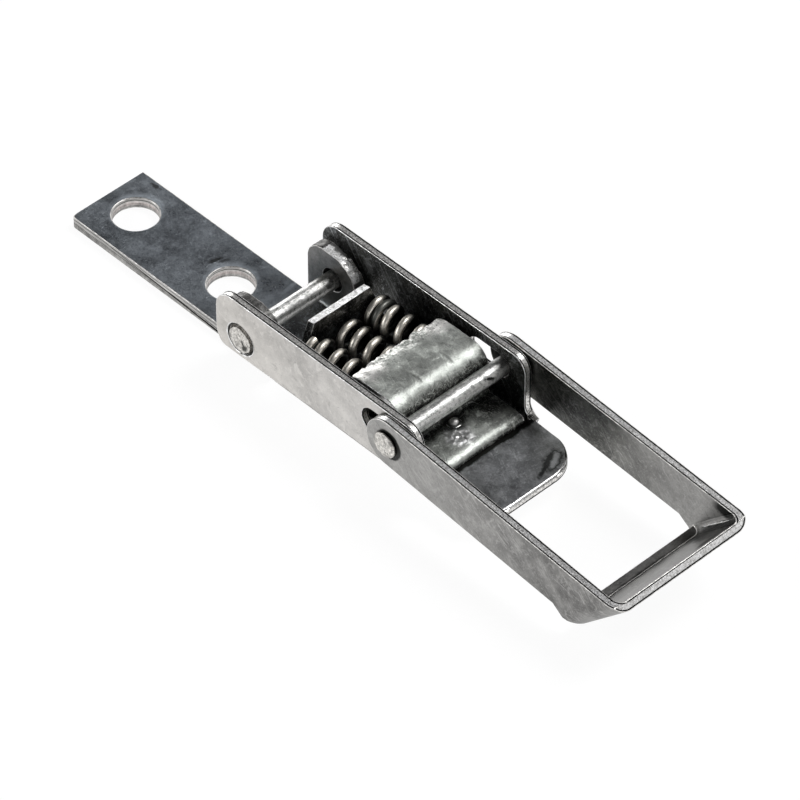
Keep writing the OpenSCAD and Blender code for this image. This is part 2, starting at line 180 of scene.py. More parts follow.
class Shader:
    """Adds nodes to one material and links them. A mask, a colour or a length may be a socket or a plain value."""

    def __init__(self, name):
        self.material = bpy.data.materials.new(name)
        self.material.use_nodes = True
        self.tree = self.material.node_tree
        self.bsdf = self.tree.nodes["Principled BSDF"]
        self.place = self.node("TexCoord").outputs["Object"]

    def feed(self, socket, value):
        """Links value to the socket where it is a socket, and writes it there where it is plain."""
        if hasattr(value, "node"):
            self.tree.links.new(value, socket)
        else:
            socket.default_value = value

    def node(self, kind, **inputs):
        """A new node. inputs are named as its sockets are, with _ for a space."""
        n = self.tree.nodes.new("ShaderNode" + kind)
        for name, value in inputs.items():
            self.feed(n.inputs[name.replace("_", " ")], value)
        return n

    def stretch(self, scale, turn=(0, 0, 0)):
        """Object coordinates turned by turn degrees and then scaled."""
        first = self.node("Mapping", Vector=self.place, Rotation=degrees(turn))
        return self.node("Mapping", Vector=first.outputs["Vector"], Scale=scale).outputs["Vector"]

    def noise(self, scale, detail=3.0, rough=0.6, vector=None, distortion=0.0):
        return self.node("TexNoise", Vector=vector or self.place, Scale=scale, Detail=detail, Roughness=rough,
                         Distortion=distortion).outputs["Fac"]

    def axis(self, name):
        """One Object coordinate, in metres."""
        return self.node("SeparateXYZ", Vector=self.place).outputs[name]

    def band(self, value, low, high, to_low=0.0, to_high=1.0):
        """Rises from to_low to to_high as value goes from low to high, which may be the smaller one."""
        return self.node("MapRange", Value=value, From_Min=low, From_Max=high, To_Min=to_low, To_Max=to_high).outputs["Result"]

    def sum(self, a, b, kind="ADD"):
        n = self.node("Math")
        n.operation = kind
        for socket, value in zip(n.inputs, (a, b)):
            self.feed(socket, value)
        return n.outputs[0]

    def times(self, a, b):
        return self.sum(a, b, "MULTIPLY")

    def most(self, *masks):
        """The largest of some masks."""
        return functools.reduce(lambda a, b: self.sum(a, b, "MAXIMUM"), masks)

    def drift(self, reach, grain, rough=0.6, vector=None):
        """Noise round 0, reach millimetres from its lowest to its highest."""
        return self.times(self.sum(self.noise(grain, 3, rough, vector), -0.5), reach * MM)

    def along(self, name, reach, grain, rough=0.6):
        """One Object coordinate in metres that wanders, so that a band of it has a ragged border."""
        return self.sum(self.axis(name), self.drift(reach, grain, rough))

    def spot(self, centre, radii, turn=(0, 0, 0), ragged=0.35, soft=0.35, grain=1400):
        """A ragged patch: 1 inside the ellipsoid at centre, 0 outside. Lengths in millimetres."""
        n = self.node("Mapping", Vector=self.place, Location=metres(centre), Rotation=degrees(turn), Scale=metres(radii))
        n.vector_type = "TEXTURE"
        far = self.node("VectorMath", Vector=n.outputs["Vector"])
        far.operation = "LENGTH"
        edge = self.sum(far.outputs["Value"], self.times(self.sum(self.noise(grain, 3, 0.65), -0.5), ragged * 2))
        return self.band(edge, 1 + soft, 1 - soft)

    def by_holes(self, offset, radii, **form):
        """The same spot beside both mounting holes. offset is from each hole's centre."""
        x, y, z = offset
        return self.sum(*(self.spot((hole + x, y, z), radii, **form) for hole in HOLES))

    def arcs(self, centre, scale, low, high):
        """Fine curved scratches: pieces of rings round centre, in millimetres."""
        far = self.node("VectorMath", Vector=self.place)
        far.operation = "DISTANCE"
        far.inputs[1].default_value = metres(centre)
        join = self.node("CombineXYZ", X=far.outputs["Value"], Y=self.times(self.axis("X"), 0.12), Z=self.times(self.axis("Z"), 0.12))
        return self.band(self.noise(scale, 2, 0.55, join.outputs[0]), low, high)

    def tint(self, fac, a, b):
        """Colour a where fac is 0, b where it is 1."""
        n = self.node("Mix")
        n.data_type = "RGBA"
        self.feed(n.inputs["Factor"], fac)
        for socket, value in ((n.inputs[6], a), (n.inputs[7], b)):
            self.feed(socket, value if hasattr(value, "node") else (*value, 1.0))
        return n.outputs[2]

    def mottled(self, value, low, high, colour, dark, light):
        """From a darker to a lighter shade of colour as value goes from low to high."""
        return self.tint(self.band(value, low, high), shade(colour, dark), shade(colour, light))

    def flecked(self, paint, colour, *flecks):
        """Lays shades of colour over paint. Each fleck is (value, low, high, strength, shade)."""
        for value, low, high, strength, k in flecks:
            paint = self.tint(self.times(self.band(value, low, high), strength), paint, shade(colour, k))
        return paint

    def marked(self, paint, marks):
        """Lays marks over paint. Each is (mask maker, colour)."""
        for maker, colour in marks:
            paint = self.tint(maker(self), paint, colour)
        return paint

    def bump(self, height, distance, strength, onto=None):
        """The normal of a height. distance is in millimetres."""
        n = self.node("Bump", Height=height, Distance=distance * MM, Strength=strength)
        if onto:
            self.feed(n.inputs["Normal"], onto)
        return n.outputs["Normal"]

    def finish(self, colour, roughness, normal, metallic=1.0):
        for name, value in (("Base Color", colour), ("Roughness", roughness), ("Normal", normal), ("Metallic", metallic)):
            self.feed(self.bsdf.inputs[name], value)
        return self.material


def shade(colour, k):
    """A colour made lighter or darker."""
    return tuple(min(1.0, c * k) for c in colour)


def dab(colour, centre, radii, strength=1.0, **form):
    """A mark for a material: one spot of this colour. form is what Shader.spot takes after its radii."""
    return lambda s: s.times(s.spot(centre, radii, **form), strength), colour


def rolled_sheet(name, colour, rough=0.36, mottle=0.25, speckle=0.5, pale=0.3, scratches=0.4,
                 marks=(), shading=None, hatch=0.0, bumpy=1.0):
    """Plain cold-rolled sheet: soft mottling, pale patches, speckle, pits and scratches.

    marks is a list of (mask maker, colour), and one more such mark, a darkening that lies under the patches and pits,
    comes as an argument of its own: the callers use it for painted shade in recesses and under parts, and on the bail's
    outside for a darker tone toward the hook.
    hatch is the strength of two sets of curved scratches that cross, bumpy that of the unevenness.
    """
    s = Shader(name)
    broad = s.noise(130, 3, 0.55, distortion=0.4)
    cloud = s.noise(420, 5, 0.66)
    patch = s.noise(900, 4, 0.62, distortion=0.9)
    grain = s.noise(4300, 2, 0.75)
    coarse = s.noise(2100, 3, 0.72, s.stretch((1, 1, 1), (20, 30, 40)))
    blend = s.sum(s.times(broad, 0.5), s.times(cloud, 0.5))
    paint = s.mottled(blend, 0.38, 0.62, colour, 1 - mottle, 1 + mottle)
    if shading:
        maker, oil_and_shade = shading
        paint = s.tint(maker(s), paint, s.mottled(cloud, 0.38, 0.66, oil_and_shade, 0.55, 1.9))
    paint = s.flecked(paint, colour, (patch, 0.56, 0.66, pale, 1.4), (patch, 0.42, 0.33, pale, 0.62),
                      (grain, 0.54, 0.7, speckle, 1.5), (grain, 0.46, 0.32, speckle, 0.55), (coarse, 0.65, 0.73, 0.55, 0.35))
    if hatch:
        light = s.most(s.arcs((30, -9, -25), 3300, 0.58, 0.68), s.arcs((75, -9, 42), 2900, 0.6, 0.7))
        dark = s.most(s.arcs((22, -9, -32), 2700, 0.4, 0.3), s.arcs((85, -9, 30), 3500, 0.4, 0.3))
        where = s.times(s.band(s.noise(260, 3, 0.6), 0.4, 0.58), hatch)
        paint = s.tint(s.times(light, where), paint, shade(colour, 2.0))
        paint = s.tint(s.times(dark, where), paint, shade(colour, 0.4))
    hair = s.noise(1500, 2, 0.5, s.stretch((0.06, 2.2, 1), (0, 14, 24)), 0.9)
    crossing = s.noise(1300, 2, 0.5, s.stretch((2.4, 1, 0.07), (0, 34, 0)), 0.9)
    cuts = s.most(s.band(hair, 0.62, 0.7), s.band(crossing, 0.63, 0.71))
    paint = s.marked(s.tint(s.times(cuts, scratches), paint, shade(colour, 1.6)), marks)
    roughness = s.band(s.sum(cloud, s.times(grain, 0.6)), 0.5, 1.15, rough - 0.08, rough + 0.14)
    waves = s.bump(s.sum(cloud, s.times(broad, 2.5)), 0.06 * bumpy, 0.6)
    fine = s.sum(s.times(grain, 0.9), s.sum(s.times(coarse, 0.8), s.times(cuts, 0.6), "SUBTRACT"))
    return s.finish(paint, roughness, s.bump(fine, 0.014 * bumpy, 0.6, waves))


def torn_steel(name, colour, rough=0.36, dark=0.35, metallic=1.0, grain=4300, marks=()):
    """The torn part of a cut edge: light, finely speckled and pitted."""
    s = Shader(name)
    streak = s.noise(grain, 3, 0.7)
    pits = s.noise(grain * 1.2, 2, 0.75, s.stretch((1, 1, 1), (30, 10, 50)))
    cloud = s.noise(420, 3, 0.6)
    paint = s.mottled(streak, 0.36, 0.62, colour, 0.5, 1.45)
    paint = s.marked(s.flecked(paint, colour, (cloud, 0.5, 0.7, 0.35, 0.55), (pits, 0.6, 0.68, 1.0, dark)), marks)
    roughness = s.band(pits, 0.3, 0.7, rough - 0.08, rough + 0.14)
    return s.finish(paint, roughness, s.bump(s.sum(streak, pits, "SUBTRACT"), 0.02, 0.7), metallic)


def plain_line(name, colour, rough=0.3, marks=()):
    """A smooth line with light wear along it: a rolled edge or ridge, or the smooth burnish beside a torn rim, which
    the callers give a near black colour as painted shade.
    """
    s = Shader(name)
    wear = s.noise(1600, 3, 0.65)
    fine = s.noise(5200, 2, 0.7)
    paint = s.marked(s.mottled(wear, 0.34, 0.66, colour, 0.6, 1.4), marks)
    return s.finish(paint, s.band(fine, 0.3, 0.7, rough - 0.06, rough + 0.12), s.bump(fine, 0.01, 0.5))


def punched_steel(name, colour, dark, pink=(0.66, 0.585, 0.565)):
    """The base's thick cut sides: light bands parted by two dark lines, and a striated torn band below them."""
    s = Shader(name)
    high = s.sum(s.axis("Z"), s.drift(0.22, 900, vector=s.stretch((1, 1, 0.05))))
    stria = s.noise(2300, 4, 0.7, s.stretch((1, 1, 0.4)))
    along = s.noise(2600, 3, 0.65, s.stretch((0.12, 0.12, 2.0)))
    pits = s.noise(3600, 3, 0.7)
    torn = s.mottled(s.sum(s.times(stria, 0.5), s.times(along, 0.5)), 0.4, 0.6, colour, 0.3, 0.85)
    torn = s.flecked(torn, colour, (pits, 0.6, 0.7, 1.0, 0.3))
    smooth = s.mottled(along, 0.34, 0.66, colour, 0.5, 1.05)
    paint = s.tint(s.band(high, 0.72 * MM, 0.78 * MM), torn, smooth)
    for middle in (0.72 * MM, 1.16 * MM):
        half, soft = 0.06 * MM, 0.024 * MM
        line = s.times(s.band(high, middle - half, middle - soft), s.band(high, middle + half, middle + soft))
        paint = s.tint(line, paint, dark)
    bores = s.by_holes((0, 0, 0.75), (2.85, 2.85, 0.5), ragged=0.12, soft=0.15)
    paint = s.tint(s.times(bores, 0.7), paint, s.mottled(stria, 0.38, 0.6, pink, 0.55, 1.15))
    roughness = s.band(s.axis("Z"), 0.6 * MM, 0.9 * MM, 0.46, 0.34)
    return s.finish(paint, roughness, s.bump(s.sum(stria, s.times(pits, 0.5)), 0.03, 0.7))


def drawn_steel(name, colour, rough=0.36, marks=()):
    """Drawn bar: fine lines along Y, speckle and dull rubs."""
    s = Shader(name)
    lines = s.noise(3000, 3, 0.65, s.stretch((1, 0.08, 1)))
    rub = s.noise(900, 5, 0.68)
    fine = s.noise(3200, 3, 0.75)
    paint = s.mottled(lines, 0.34, 0.66, colour, 0.65, 1.3)
    paint = s.marked(s.flecked(paint, colour, (rub, 0.52, 0.66, 0.8, 0.42), (fine, 0.49, 0.38, 0.75, 0.3)), marks)
    height = s.sum(lines, s.sum(s.times(fine, 1.5), rub))
    return s.finish(paint, s.band(rub, 0.35, 0.7, rough, rough + 0.2), s.bump(height, 0.035, 0.7))


def wire_steel(name, colour, oil_and_shade, side, height, marks=()):
    """Spring wire: its warm light colour kept along the outside of each coil's upper near part as a painted highlight,
    and near black painted shade elsewhere.
    """
    s = Shader(name)
    fine = s.noise(3000, 3, 0.7)
    smear = s.noise(900, 3, 0.6)
    paint = s.flecked(s.mottled(smear, 0.35, 0.65, colour, 0.8, 1.4), colour, (fine, 0.54, 0.68, 0.6, 0.4))
    lit_side = s.sum(s.times(s.sum(s.axis("Z"), -height), 0.8), s.times(s.sum(s.axis("Y"), -side), -0.6))
    lit_side = s.sum(lit_side, s.drift(1.3, 1300))
    paint = s.marked(s.tint(s.band(lit_side, 1.25 * MM, 0.65 * MM), paint, oil_and_shade), marks)
    return s.finish(paint, s.band(fine, 0.3, 0.7, 0.36, 0.52), s.bump(fine, 0.014, 0.6))


# ---------------------------------------------------------------- sheet pieces

BROAD, LINE, RIM, EDGE, INSIDE, SEAT = range(6)


def welded(node):
    """A node's solid as a bmesh, with its loose triangles merged and its flat faces made whole."""
    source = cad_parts[node]
    b = bmesh.new()
    b.from_mesh(source.data)
    b.transform(source.matrix_world)
    bmesh.ops.remove_doubles(b, verts=b.verts, dist=1e-7)
    bmesh.ops.dissolve_limit(b, angle_limit=math.radians(0.6), verts=b.verts, edges=b.edges, delimit=set())
    for f in b.faces:
        f.material_index = BROAD
    b.normal_update()
    return b


def plane_key(f):
    n = f.normal
    return round(n.x, 2), round(n.y, 2), round(n.z, 2), round(n.dot(f.verts[0].co) / (0.1 * MM))


def cut_faces(b, thickness):
    """The faces that shears or punches made: the sheet's other side isn't one thickness behind them."""
    tree = BVHTree.FromBMesh(b)
    votes = {}
    for loops in b.calc_loop_triangles():
        f = loops[0].face
        p, q, r = (l.vert.co for l in loops)
        hit = tree.ray_cast((p + q + r) / 3 - f.normal * 1e-6, -f.normal)
        thin = hit[0] is not None and hit[3] < thickness * 1.12
        votes.setdefault(plane_key(f), [0.0, 0.0])[thin] += (q - p).cross(r - p).length
    return [f for f in b.faces if votes[plane_key(f)][0] > votes[plane_key(f)][1]]


def centre(f):
    return f.calc_center_median() / MM


def line_rims(b, faces, width, sink):
    """Gives each cut rim a smooth line along both of its sides and sinks its middle a little."""
    for f in faces:
        f.material_index = RIM
    lines = bmesh.ops.inset_region(b, faces=faces, thickness=width, depth=-sink, use_boundary=True, use_even_offset=False)
    for f in lines["faces"]:
        f.material_index = LINE


def round_off(b, edges, width, segments, slot):
    bmesh.ops.bevel(b, geom=edges, offset=width, offset_type="OFFSET", segments=segments, profile=0.5,
                    affect="EDGES", clamp_overlap=True, material=slot, loop_slide=True)
    b.normal_update()


def mark_sharp(b, angle=32, share=lambda e: 1.0):
    """Marks the edges that the rolled edge follows. share gives each one's part of the full width."""
    layer = b.edges.layers.float.get("bevel_weight_edge") or b.edges.layers.float.new("bevel_weight_edge")
    for e in b.edges:
        sharp = len(e.link_faces) == 2 and e.calc_face_angle(0) > math.radians(angle)
        e[layer] = share(e) if sharp else 0.0


def keep_close(mesh, nodes, reach):
    """Moves stray points that lie further than reach outside the nodes' surface back onto it."""
    for node in nodes:
        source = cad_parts[node]
        points = [source.matrix_world @ v.co for v in source.data.vertices]
        tree = BVHTree.FromPolygons(points, [p.vertices[:] for p in source.data.polygons])
        for v in mesh.vertices:
            at, normal, _, far = tree.find_nearest(v.co)
            if far > reach and (v.co - at).dot(normal) > 0:
                v.co = at


def finish_piece(b, name, body, materials, width, replaces, reach=None):
    """Rolls the marked edges, makes the piece a plain mesh and puts it on its body."""
    mesh = bpy.data.meshes.new(name)
    for f in b.faces:
        f.smooth = True
    b.to_mesh(mesh)
    b.free()
    piece = bpy.data.objects.new(name, mesh)
    bpy.context.scene.collection.objects.link(piece)
    for m in materials:
        mesh.materials.append(m)
    m = piece.modifiers.new("rolled", "BEVEL")
    m.width = width
    m.segments = 2
    m.limit_method = "WEIGHT"
    m.use_clamp_overlap = False
    m.material = EDGE if len(materials) > EDGE else -1
    even = piece.modifiers.new("even", "WEIGHTED_NORMAL")
    even.weight = 50
    even.keep_sharp = False
    depsgraph = bpy.context.evaluated_depsgraph_get()
    piece_data = bpy.data.meshes.new_from_object(piece.evaluated_get(depsgraph))
    piece.modifiers.clear()
    piece.data = piece_data
    if reach:
        keep_close(piece.data, replaces, reach)
    piece.matrix_world = Matrix.Identity(4)
    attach(piece, body)
    if replaces:
        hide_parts(*replaces)
    return piece


def ripple(x, y, z, size):
    """Smooth noise from -1 to 1 with features of this size in millimetres."""
    return wave.noise(Vector((x, y, z)) / size)


def from_pivot(at):
    """How far a point is from the pivot's line, in millimetres."""
    return math.hypot(at.x - PIVOT.x / MM, at.z - PIVOT.z / MM)


def tear_ears(b, faces, height):
    """Tears the ears' rims: rows of vertices across each rim are moved in and out, more so on the ear behind."""
    rim = set(faces)

    def rises(e, axis):
        return abs(e.verts[0].co[axis] - e.verts[1].co[axis])

    across = [e for e in b.edges if any(f in rim for f in e.link_faces) and rises(e, 1) > 1.2 * MM and rises(e, 2) < 0.05 * MM]
    bmesh.ops.subdivide_edges(b, edges=across, cuts=6, use_grid_fill=True)
    along = [e for e in b.edges if len(e.link_faces) == 2 and rises(e, 1) < 0.01 * MM and e.calc_length() > 0.2 * MM
             and all(abs(abs(v.co.y) / MM - 5.75) < 0.9 and v.co.z > 7 * MM and from_pivot(v.co / MM) > 2.5 for v in e.verts)
             and any(abs(f.normal.y) < 0.3 for f in e.link_faces)]
    bmesh.ops.subdivide_edges(b, edges=along, cuts=1, use_grid_fill=True)
    torn = set()
    for f in b.faces:
        c = centre(f)
        if c.z > 7.0 and 4.95 < abs(c.y) < 6.55 and abs(f.normal.y) < 0.3 and from_pivot(c) > 2.6:
            torn.add(f)
    for v in {v for f in torn for v in f.verts}:
        x, y, z = v.co / MM
        if z < 7.4:
            continue
        way = Vector((x - PIVOT.x / MM, 0, z - PIVOT.z / MM)).normalized()
        fade = min(1.0, (z - 7.4) / 0.6)
        rough = (ripple(x, y, z, 0.6) * 0.5 + ripple(x + 9, y, z, 0.27) * 0.7) * height / MM
        if y > 0:
            front = min(1.0, max(0.0, (x - 16.9) / 1.2))
            burr = math.exp(-((x - 20.75) / 0.25) ** 2 - ((z - 7.6) / 0.5) ** 2) * max(0.0, (y - 5.6) / 0.9)
            out = rough * (0.35 + 0.9 * front) - 0.3 * front * max(0.0, (y - 5.1) / 1.4) + 0.5 * burr
        else:
            out = rough * 0.5
        v.co += way * out * fade * MM
    b.normal_update()
    return torn


def sheet_block(counts, place):
    """A closed block of quads. place(u, v, w), each from 0 to 1, gives the points of its surface."""
    b = bmesh.new()
    grid = {}

    def vert(i, j, k):
        if (i, j, k) not in grid:
            grid[i, j, k] = b.verts.new(place(i / counts[0], j / counts[1], k / counts[2]))
        return grid[i, j, k]

    for fixed, (p, q) in enumerate(((1, 2), (0, 2), (0, 1))):
        for side in (0, counts[fixed]):
            for s in range(counts[p]):
                for t in range(counts[q]):
                    corners = []
                    for ds, dt in ((0, 0), (1, 0), (1, 1), (0, 1)):
                        index = [0, 0, 0]
                        index[fixed], index[p], index[q] = side, s + ds, t + dt
                        corners.append(vert(*index))
                    b.faces.new(corners)
    bmesh.ops.recalc_face_normals(b, faces=b.faces)
    return b


# The middle of the saddle's sheet, in millimetres from the pivot. A line is its length, start and way,
# and an arc its length, centre, radius, start angle in degrees and 1 where it turns left.
SADDLE_RUN = (("line", 5.305, 14.5, 3.825, 1, 0), ("arc", 2.7096, 19.805, 2.1, 1.725, 90, -1), ("line", 2.94, 21.53, 2.1, 0, -1),
              ("arc", 1.5315, 22.505, -0.84, 0.975, 180, 1), ("line", 4.8, 22.505, -1.815, 1, 0))
SADDLE_LONG = 17.285
SADDLE_WIDE = 12.4
FOOT_START = 12.6
# Dents in the saddle's top: where along and across it, the reach each way, and the depth.
DENTS = ((6.7, -2.3, 0.55, 0.8, 0.13), (6.1, -5.1, 0.5, 0.9, 0.08), (2.7, 3.9, 1.3, 1.5, 0.12), (3.3, -4.4, 1.1, 1.3, 0.09),
         (4.5, 0.6, 1.2, 1.8, 0.06), (1.0, 1.2, 0.6, 0.9, 0.12), (0.8, -3.4, 0.6, 0.8, 0.12), (7.4, 3.4, 0.5, 1.4, 0.05))
CREASES = (-1.95, 2.35)


def saddle_path(s):
    """Point and upper normal at s millimetres along the middle of the saddle's sheet, from the pivot."""
    for part in SADDLE_RUN:
        if s <= part[1] or part is SADDLE_RUN[-1]:
            break
        s -= part[1]
    if part[0] == "line":
        x, z, dx, dz = part[2:]
        return x + dx * s, z + dz * s, -dz, dx
    x, z, r, start, way = part[2:]
    a = math.radians(start) + way * s / r
    return x + r * math.cos(a), z + r * math.sin(a), -way * math.cos(a), -way * math.sin(a)


def ramp(value):
    """value kept between 0 and 1."""
    return max(0.0, min(1.0, value))


def foot_lift(s, x, y):
    """How far the foot's upper side is raised: its rolled front edge, the pip and the wrinkled collar beside it."""
    edge = SADDLE_LONG - s
    lift = 0.03 * ripple(x, y, 9.9, 0.3) * ramp((x - 26.2) / 0.5)
    if edge < 1.15:
        lift -= 0.72 * (1 - math.sqrt(max(0.0, 1 - ((1.15 - edge) / 1.15) ** 2)))
    pip = 0.6 - (x - 22.95) ** 2 - (y - 0.35) ** 2
    if pip > 0:
        lift += max(0.0, math.sqrt(pip) - 0.22)
    rho, turn = math.hypot(x - 24.9, y + 0.6), math.atan2(y + 0.6, x - 24.9)
    wrinkle = 1 + 0.3 * ripple(3 * math.cos(turn), 3 * math.sin(turn), rho * 2, 1.9)
    crumbled = 0.2 * ripple(x, y, 6.6, 0.62) + 0.15 * ripple(x, y, 2.2, 0.25)
    return lift + 0.07 * wrinkle * math.exp(-((rho - 0.7) / 0.5) ** 2) + crumbled * math.exp(-((rho / 1.2) ** 4))


def saddle_point(u, v, w, crumple):
    """A point of the dented saddle, in metres. u runs along it from its torn free edge, v across it and w through it."""
    s, y = u * SADDLE_LONG, (v - 0.5) * SADDLE_WIDE
    x, z, nx, nz = saddle_path(s)
    free = max(0.0, 1 - s / 2.0)
    ragged = 0.24 * ripple(3.1, y, 0.5, 1.3) + 0.16 * ripple(1.7, y, 4.2, 0.45) + 0.12 * (w - 0.5) * ripple(y, 8.8, w, 0.5)
    corners = 0.75 * max(0.0, (y - 5.4) / 0.8) ** 2 + 0.45 * max(0.0, (-y - 5.6) / 0.6) ** 2
    x += free * (ragged + corners + 0.12)
    top = ramp(8.2 - s)
    h = top * (0.06 * ripple(s, y, 2.0, 2.4) + 0.03 * ripple(s, y, 7.0, 0.8) + 0.008 * ripple(s, y, 1.0, 0.35))
    h += crumple / MM * free ** 1.3 * (0.8 * ripple(s, y, 5.0, 1.15) + 0.45 * ripple(s, y, 9.0, 0.42) - 0.35)
    h += 0.05 * free * ripple(s, y, 6.0, 0.26) - 0.1 * top * max(0.0, 1 - s / 5.0) ** 2
    for s0, y0, rs, ry, deep in DENTS:
        h -= deep * math.exp(-((s - s0) / rs) ** 2 - ((y - y0) / ry) ** 2)
    for y0 in CREASES:
        run = ramp((s - 4.2) / 1.4) * ramp((6.1 - s) / 0.3)
        h += run * (0.03 * math.exp(-((y - y0 - 0.28) / 0.13) ** 2) - 0.13 * max(0.0, 1 - abs(y - y0) / 0.17))
    lift = 0.0
    if s > FOOT_START:
        h += 0.03 * ripple(s, y, 3.3, 1.6) * min(1.0, s - FOOT_START)
        x += max(0.0, 1 - (SADDLE_LONG - s) / 0.8) * (0.06 * ripple(y, 6.0, 0.0, 0.9) - 0.05)
        lift = w * foot_lift(s, x, y)
    press = free ** 2 * (0.25 + 0.24 * ripple(y, 5.5, 1.1, 1.15)) * w
    t = (w - 0.5) * LEVER_SHEET / MM + h - press
    return PIVOT + Vector((x + nx * t, y, z + nz * t + lift)) * MM


def circle(radius, steps):
    """Points round a circle, or its centre alone where the radius is 0."""
    turns = (2 * math.pi * k / steps for k in range(steps if radius else 1))
    return [(radius * math.cos(a), radius * math.sin(a)) for a in turns]


def skin(b, rows, capped=False):
    """Joins rows of points with quads, or with triangles to a row that is a single point."""
    rings = [[b.verts.new(p) for p in row] for row in rows]
    faces = [b.faces.new(rings[0][::-1]), b.faces.new(rings[-1])] if capped else []
    for p, q in zip(rings, rings[1:]):
        steps = max(len(p), len(q))
        for k in range(steps):
            n = (k + 1) % steps
            corners = (p[k % len(p)], q[k % len(q)], q[n % len(q)], p[n % len(p)])
            faces.append(b.faces.new(tuple(dict.fromkeys(corners))))
    return faces


def turned(axis, half, segments=56):
    """A closed solid turned round a line along Y through axis. half is one end, from the middle: (y, radius) in millimetres."""
    b = bmesh.new()
    rings = [(-y, r) for y, r in reversed(half)] + list(half)
    skin(b, [[(axis.x + p, y * MM, axis.z + q) for p, q in circle(r * MM, segments)] for y, r in rings])
    bmesh.ops.recalc_face_normals(b, faces=b.faces)
    return b


def add_burr(b, start, end, radius):
    """A ragged ridge where a fold pinched the sheet: a thin closed rod of uneven width between two points in millimetres."""
    run = end - start
    side = run.normalized().orthogonal().normalized()
    up = run.normalized().cross(side)
    steps, rows = 50, []
    for k in range(steps + 1):
        t = k / steps
        at = start + run * t + (side * ripple(t * 9, 1, 0, 1.0) + up * ripple(t * 9, 5, 0, 1.0)) * radius * 0.8
        r = radius * (0.3 + 0.7 * math.sin(math.pi * t) ** 0.5) * (1 + 0.6 * ripple(t * 14, 3, 7, 1.0))
        rows.append([(at + side * p + up * q) * MM for p, q in circle(r, 7)])
    bmesh.ops.recalc_face_normals(b, faces=skin(b, rows, capped=True))


# ---------------------------------------------------------------- springs


def spring_tree():
    """A node group that winds one coil spring along X. All lengths are in metres."""
    tree = bpy.data.node_groups.new("wound_spring", "GeometryNodeTree")
    sockets = [("Geometry", "Geometry")]
    sockets += [(name, "Float") for name in ("Start", "Side", "Height", "Coil Radius", "Wire Radius", "Phase", "Turns",
                                             "Closed Turns", "Closed Pitch", "Open Pitch")]
    sockets += [("Steps", "Int"), ("Wire Sides", "Int"), ("Material", "Material")]
    for name, kind in sockets:
        tree.interface.new_socket(name, in_out="INPUT", socket_type="NodeSocket" + kind)
    tree.interface.new_socket("Geometry", in_out="OUTPUT", socket_type="NodeSocketGeometry")
    entry = tree.nodes.new("NodeGroupInput").outputs

    def node(kind, **inputs):
        """A new node with these inputs linked, named as its sockets are, with _ for a space."""
        n = tree.nodes.new(kind)
        for name, value in inputs.items():
            tree.links.new(value, n.inputs[name.replace("_", " ")])
        return n

    def calc(kind, a, b=0.0):
        n = tree.nodes.new("ShaderNodeMath")
        n.operation = kind
        for socket, value in zip(n.inputs, (a, b)):
            if isinstance(value, (int, float)):
                socket.default_value = value
            else:
                tree.links.new(value, socket)
        return n.outputs[0]

    line = node("GeometryNodeMeshLine", Count=entry["Steps"])
    index = node("GeometryNodeInputIndex").outputs[0]
    turn = calc("MULTIPLY", calc("DIVIDE", index, calc("SUBTRACT", entry["Steps"], 1.0)), entry["Turns"])
    last = calc("SUBTRACT", entry["Turns"], 1.0)
    first_part = calc("MULTIPLY", calc("MINIMUM", turn, entry["Closed Turns"]), entry["Closed Pitch"])
    opened = calc("SUBTRACT", calc("MINIMUM", turn, last), entry["Closed Turns"])
    open_part = calc("MULTIPLY", calc("MAXIMUM", opened, 0.0), entry["Open Pitch"])
    last_part = calc("MULTIPLY", calc("MAXIMUM", calc("SUBTRACT", turn, last), 0.0), entry["Closed Pitch"])
    x = calc("ADD", entry["Start"], calc("ADD", first_part, calc("ADD", open_part, last_part)))
    angle = calc("ADD", entry["Phase"], calc("MULTIPLY", turn, 2 * math.pi))
    y = calc("ADD", entry["Side"], calc("MULTIPLY", calc("COSINE", angle), entry["Coil Radius"]))
    z = calc("ADD", entry["Height"], calc("MULTIPLY", calc("SINE", angle), entry["Coil Radius"]))
    place = node("ShaderNodeCombineXYZ", X=x, Y=y, Z=z)
    put = node("GeometryNodeSetPosition", Geometry=line.outputs["Mesh"], Position=place.outputs[0])
    curve = node("GeometryNodeMeshToCurve", Mesh=put.outputs[0])
    ring = node("GeometryNodeCurvePrimitiveCircle", Resolution=entry["Wire Sides"], Radius=entry["Wire Radius"])
    sweep = node("GeometryNodeCurveToMesh", Curve=curve.outputs["Curve"], Profile_Curve=ring.outputs["Curve"])
    sweep.inputs["Fill Caps"].default_value = True
    smooth = node("GeometryNodeSetShadeSmooth", Geometry=sweep.outputs["Mesh"])
    real = node("GeometryNodeRealizeInstances", Geometry=smooth.outputs[0])
    paint = node("GeometryNodeSetMaterial", Geometry=real.outputs["Geometry"], Material=entry["Material"])
    node("NodeGroupOutput", Geometry=paint.outputs["Geometry"])
    return tree


def wind_spring(name, tree, values):
    """Runs the spring's node group with these inputs and keeps its result as a plain mesh."""
    piece = bpy.data.objects.new(name, bpy.data.meshes.new(name))
    bpy.context.scene.collection.objects.link(piece)
    m = piece.modifiers.new("wind", "NODES")
    m.node_group = tree
    for item in tree.interface.items_tree:
        if item.in_out == "INPUT" and item.name in values:
            m[item.identifier] = values[item.name]
    depsgraph = bpy.context.evaluated_depsgraph_get()
    mesh = bpy.data.meshes.new_from_object(piece.evaluated_get(depsgraph))
    piece.modifiers.clear()
    piece.data = mesh
    return piece


# ---------------------------------------------------------------- operators


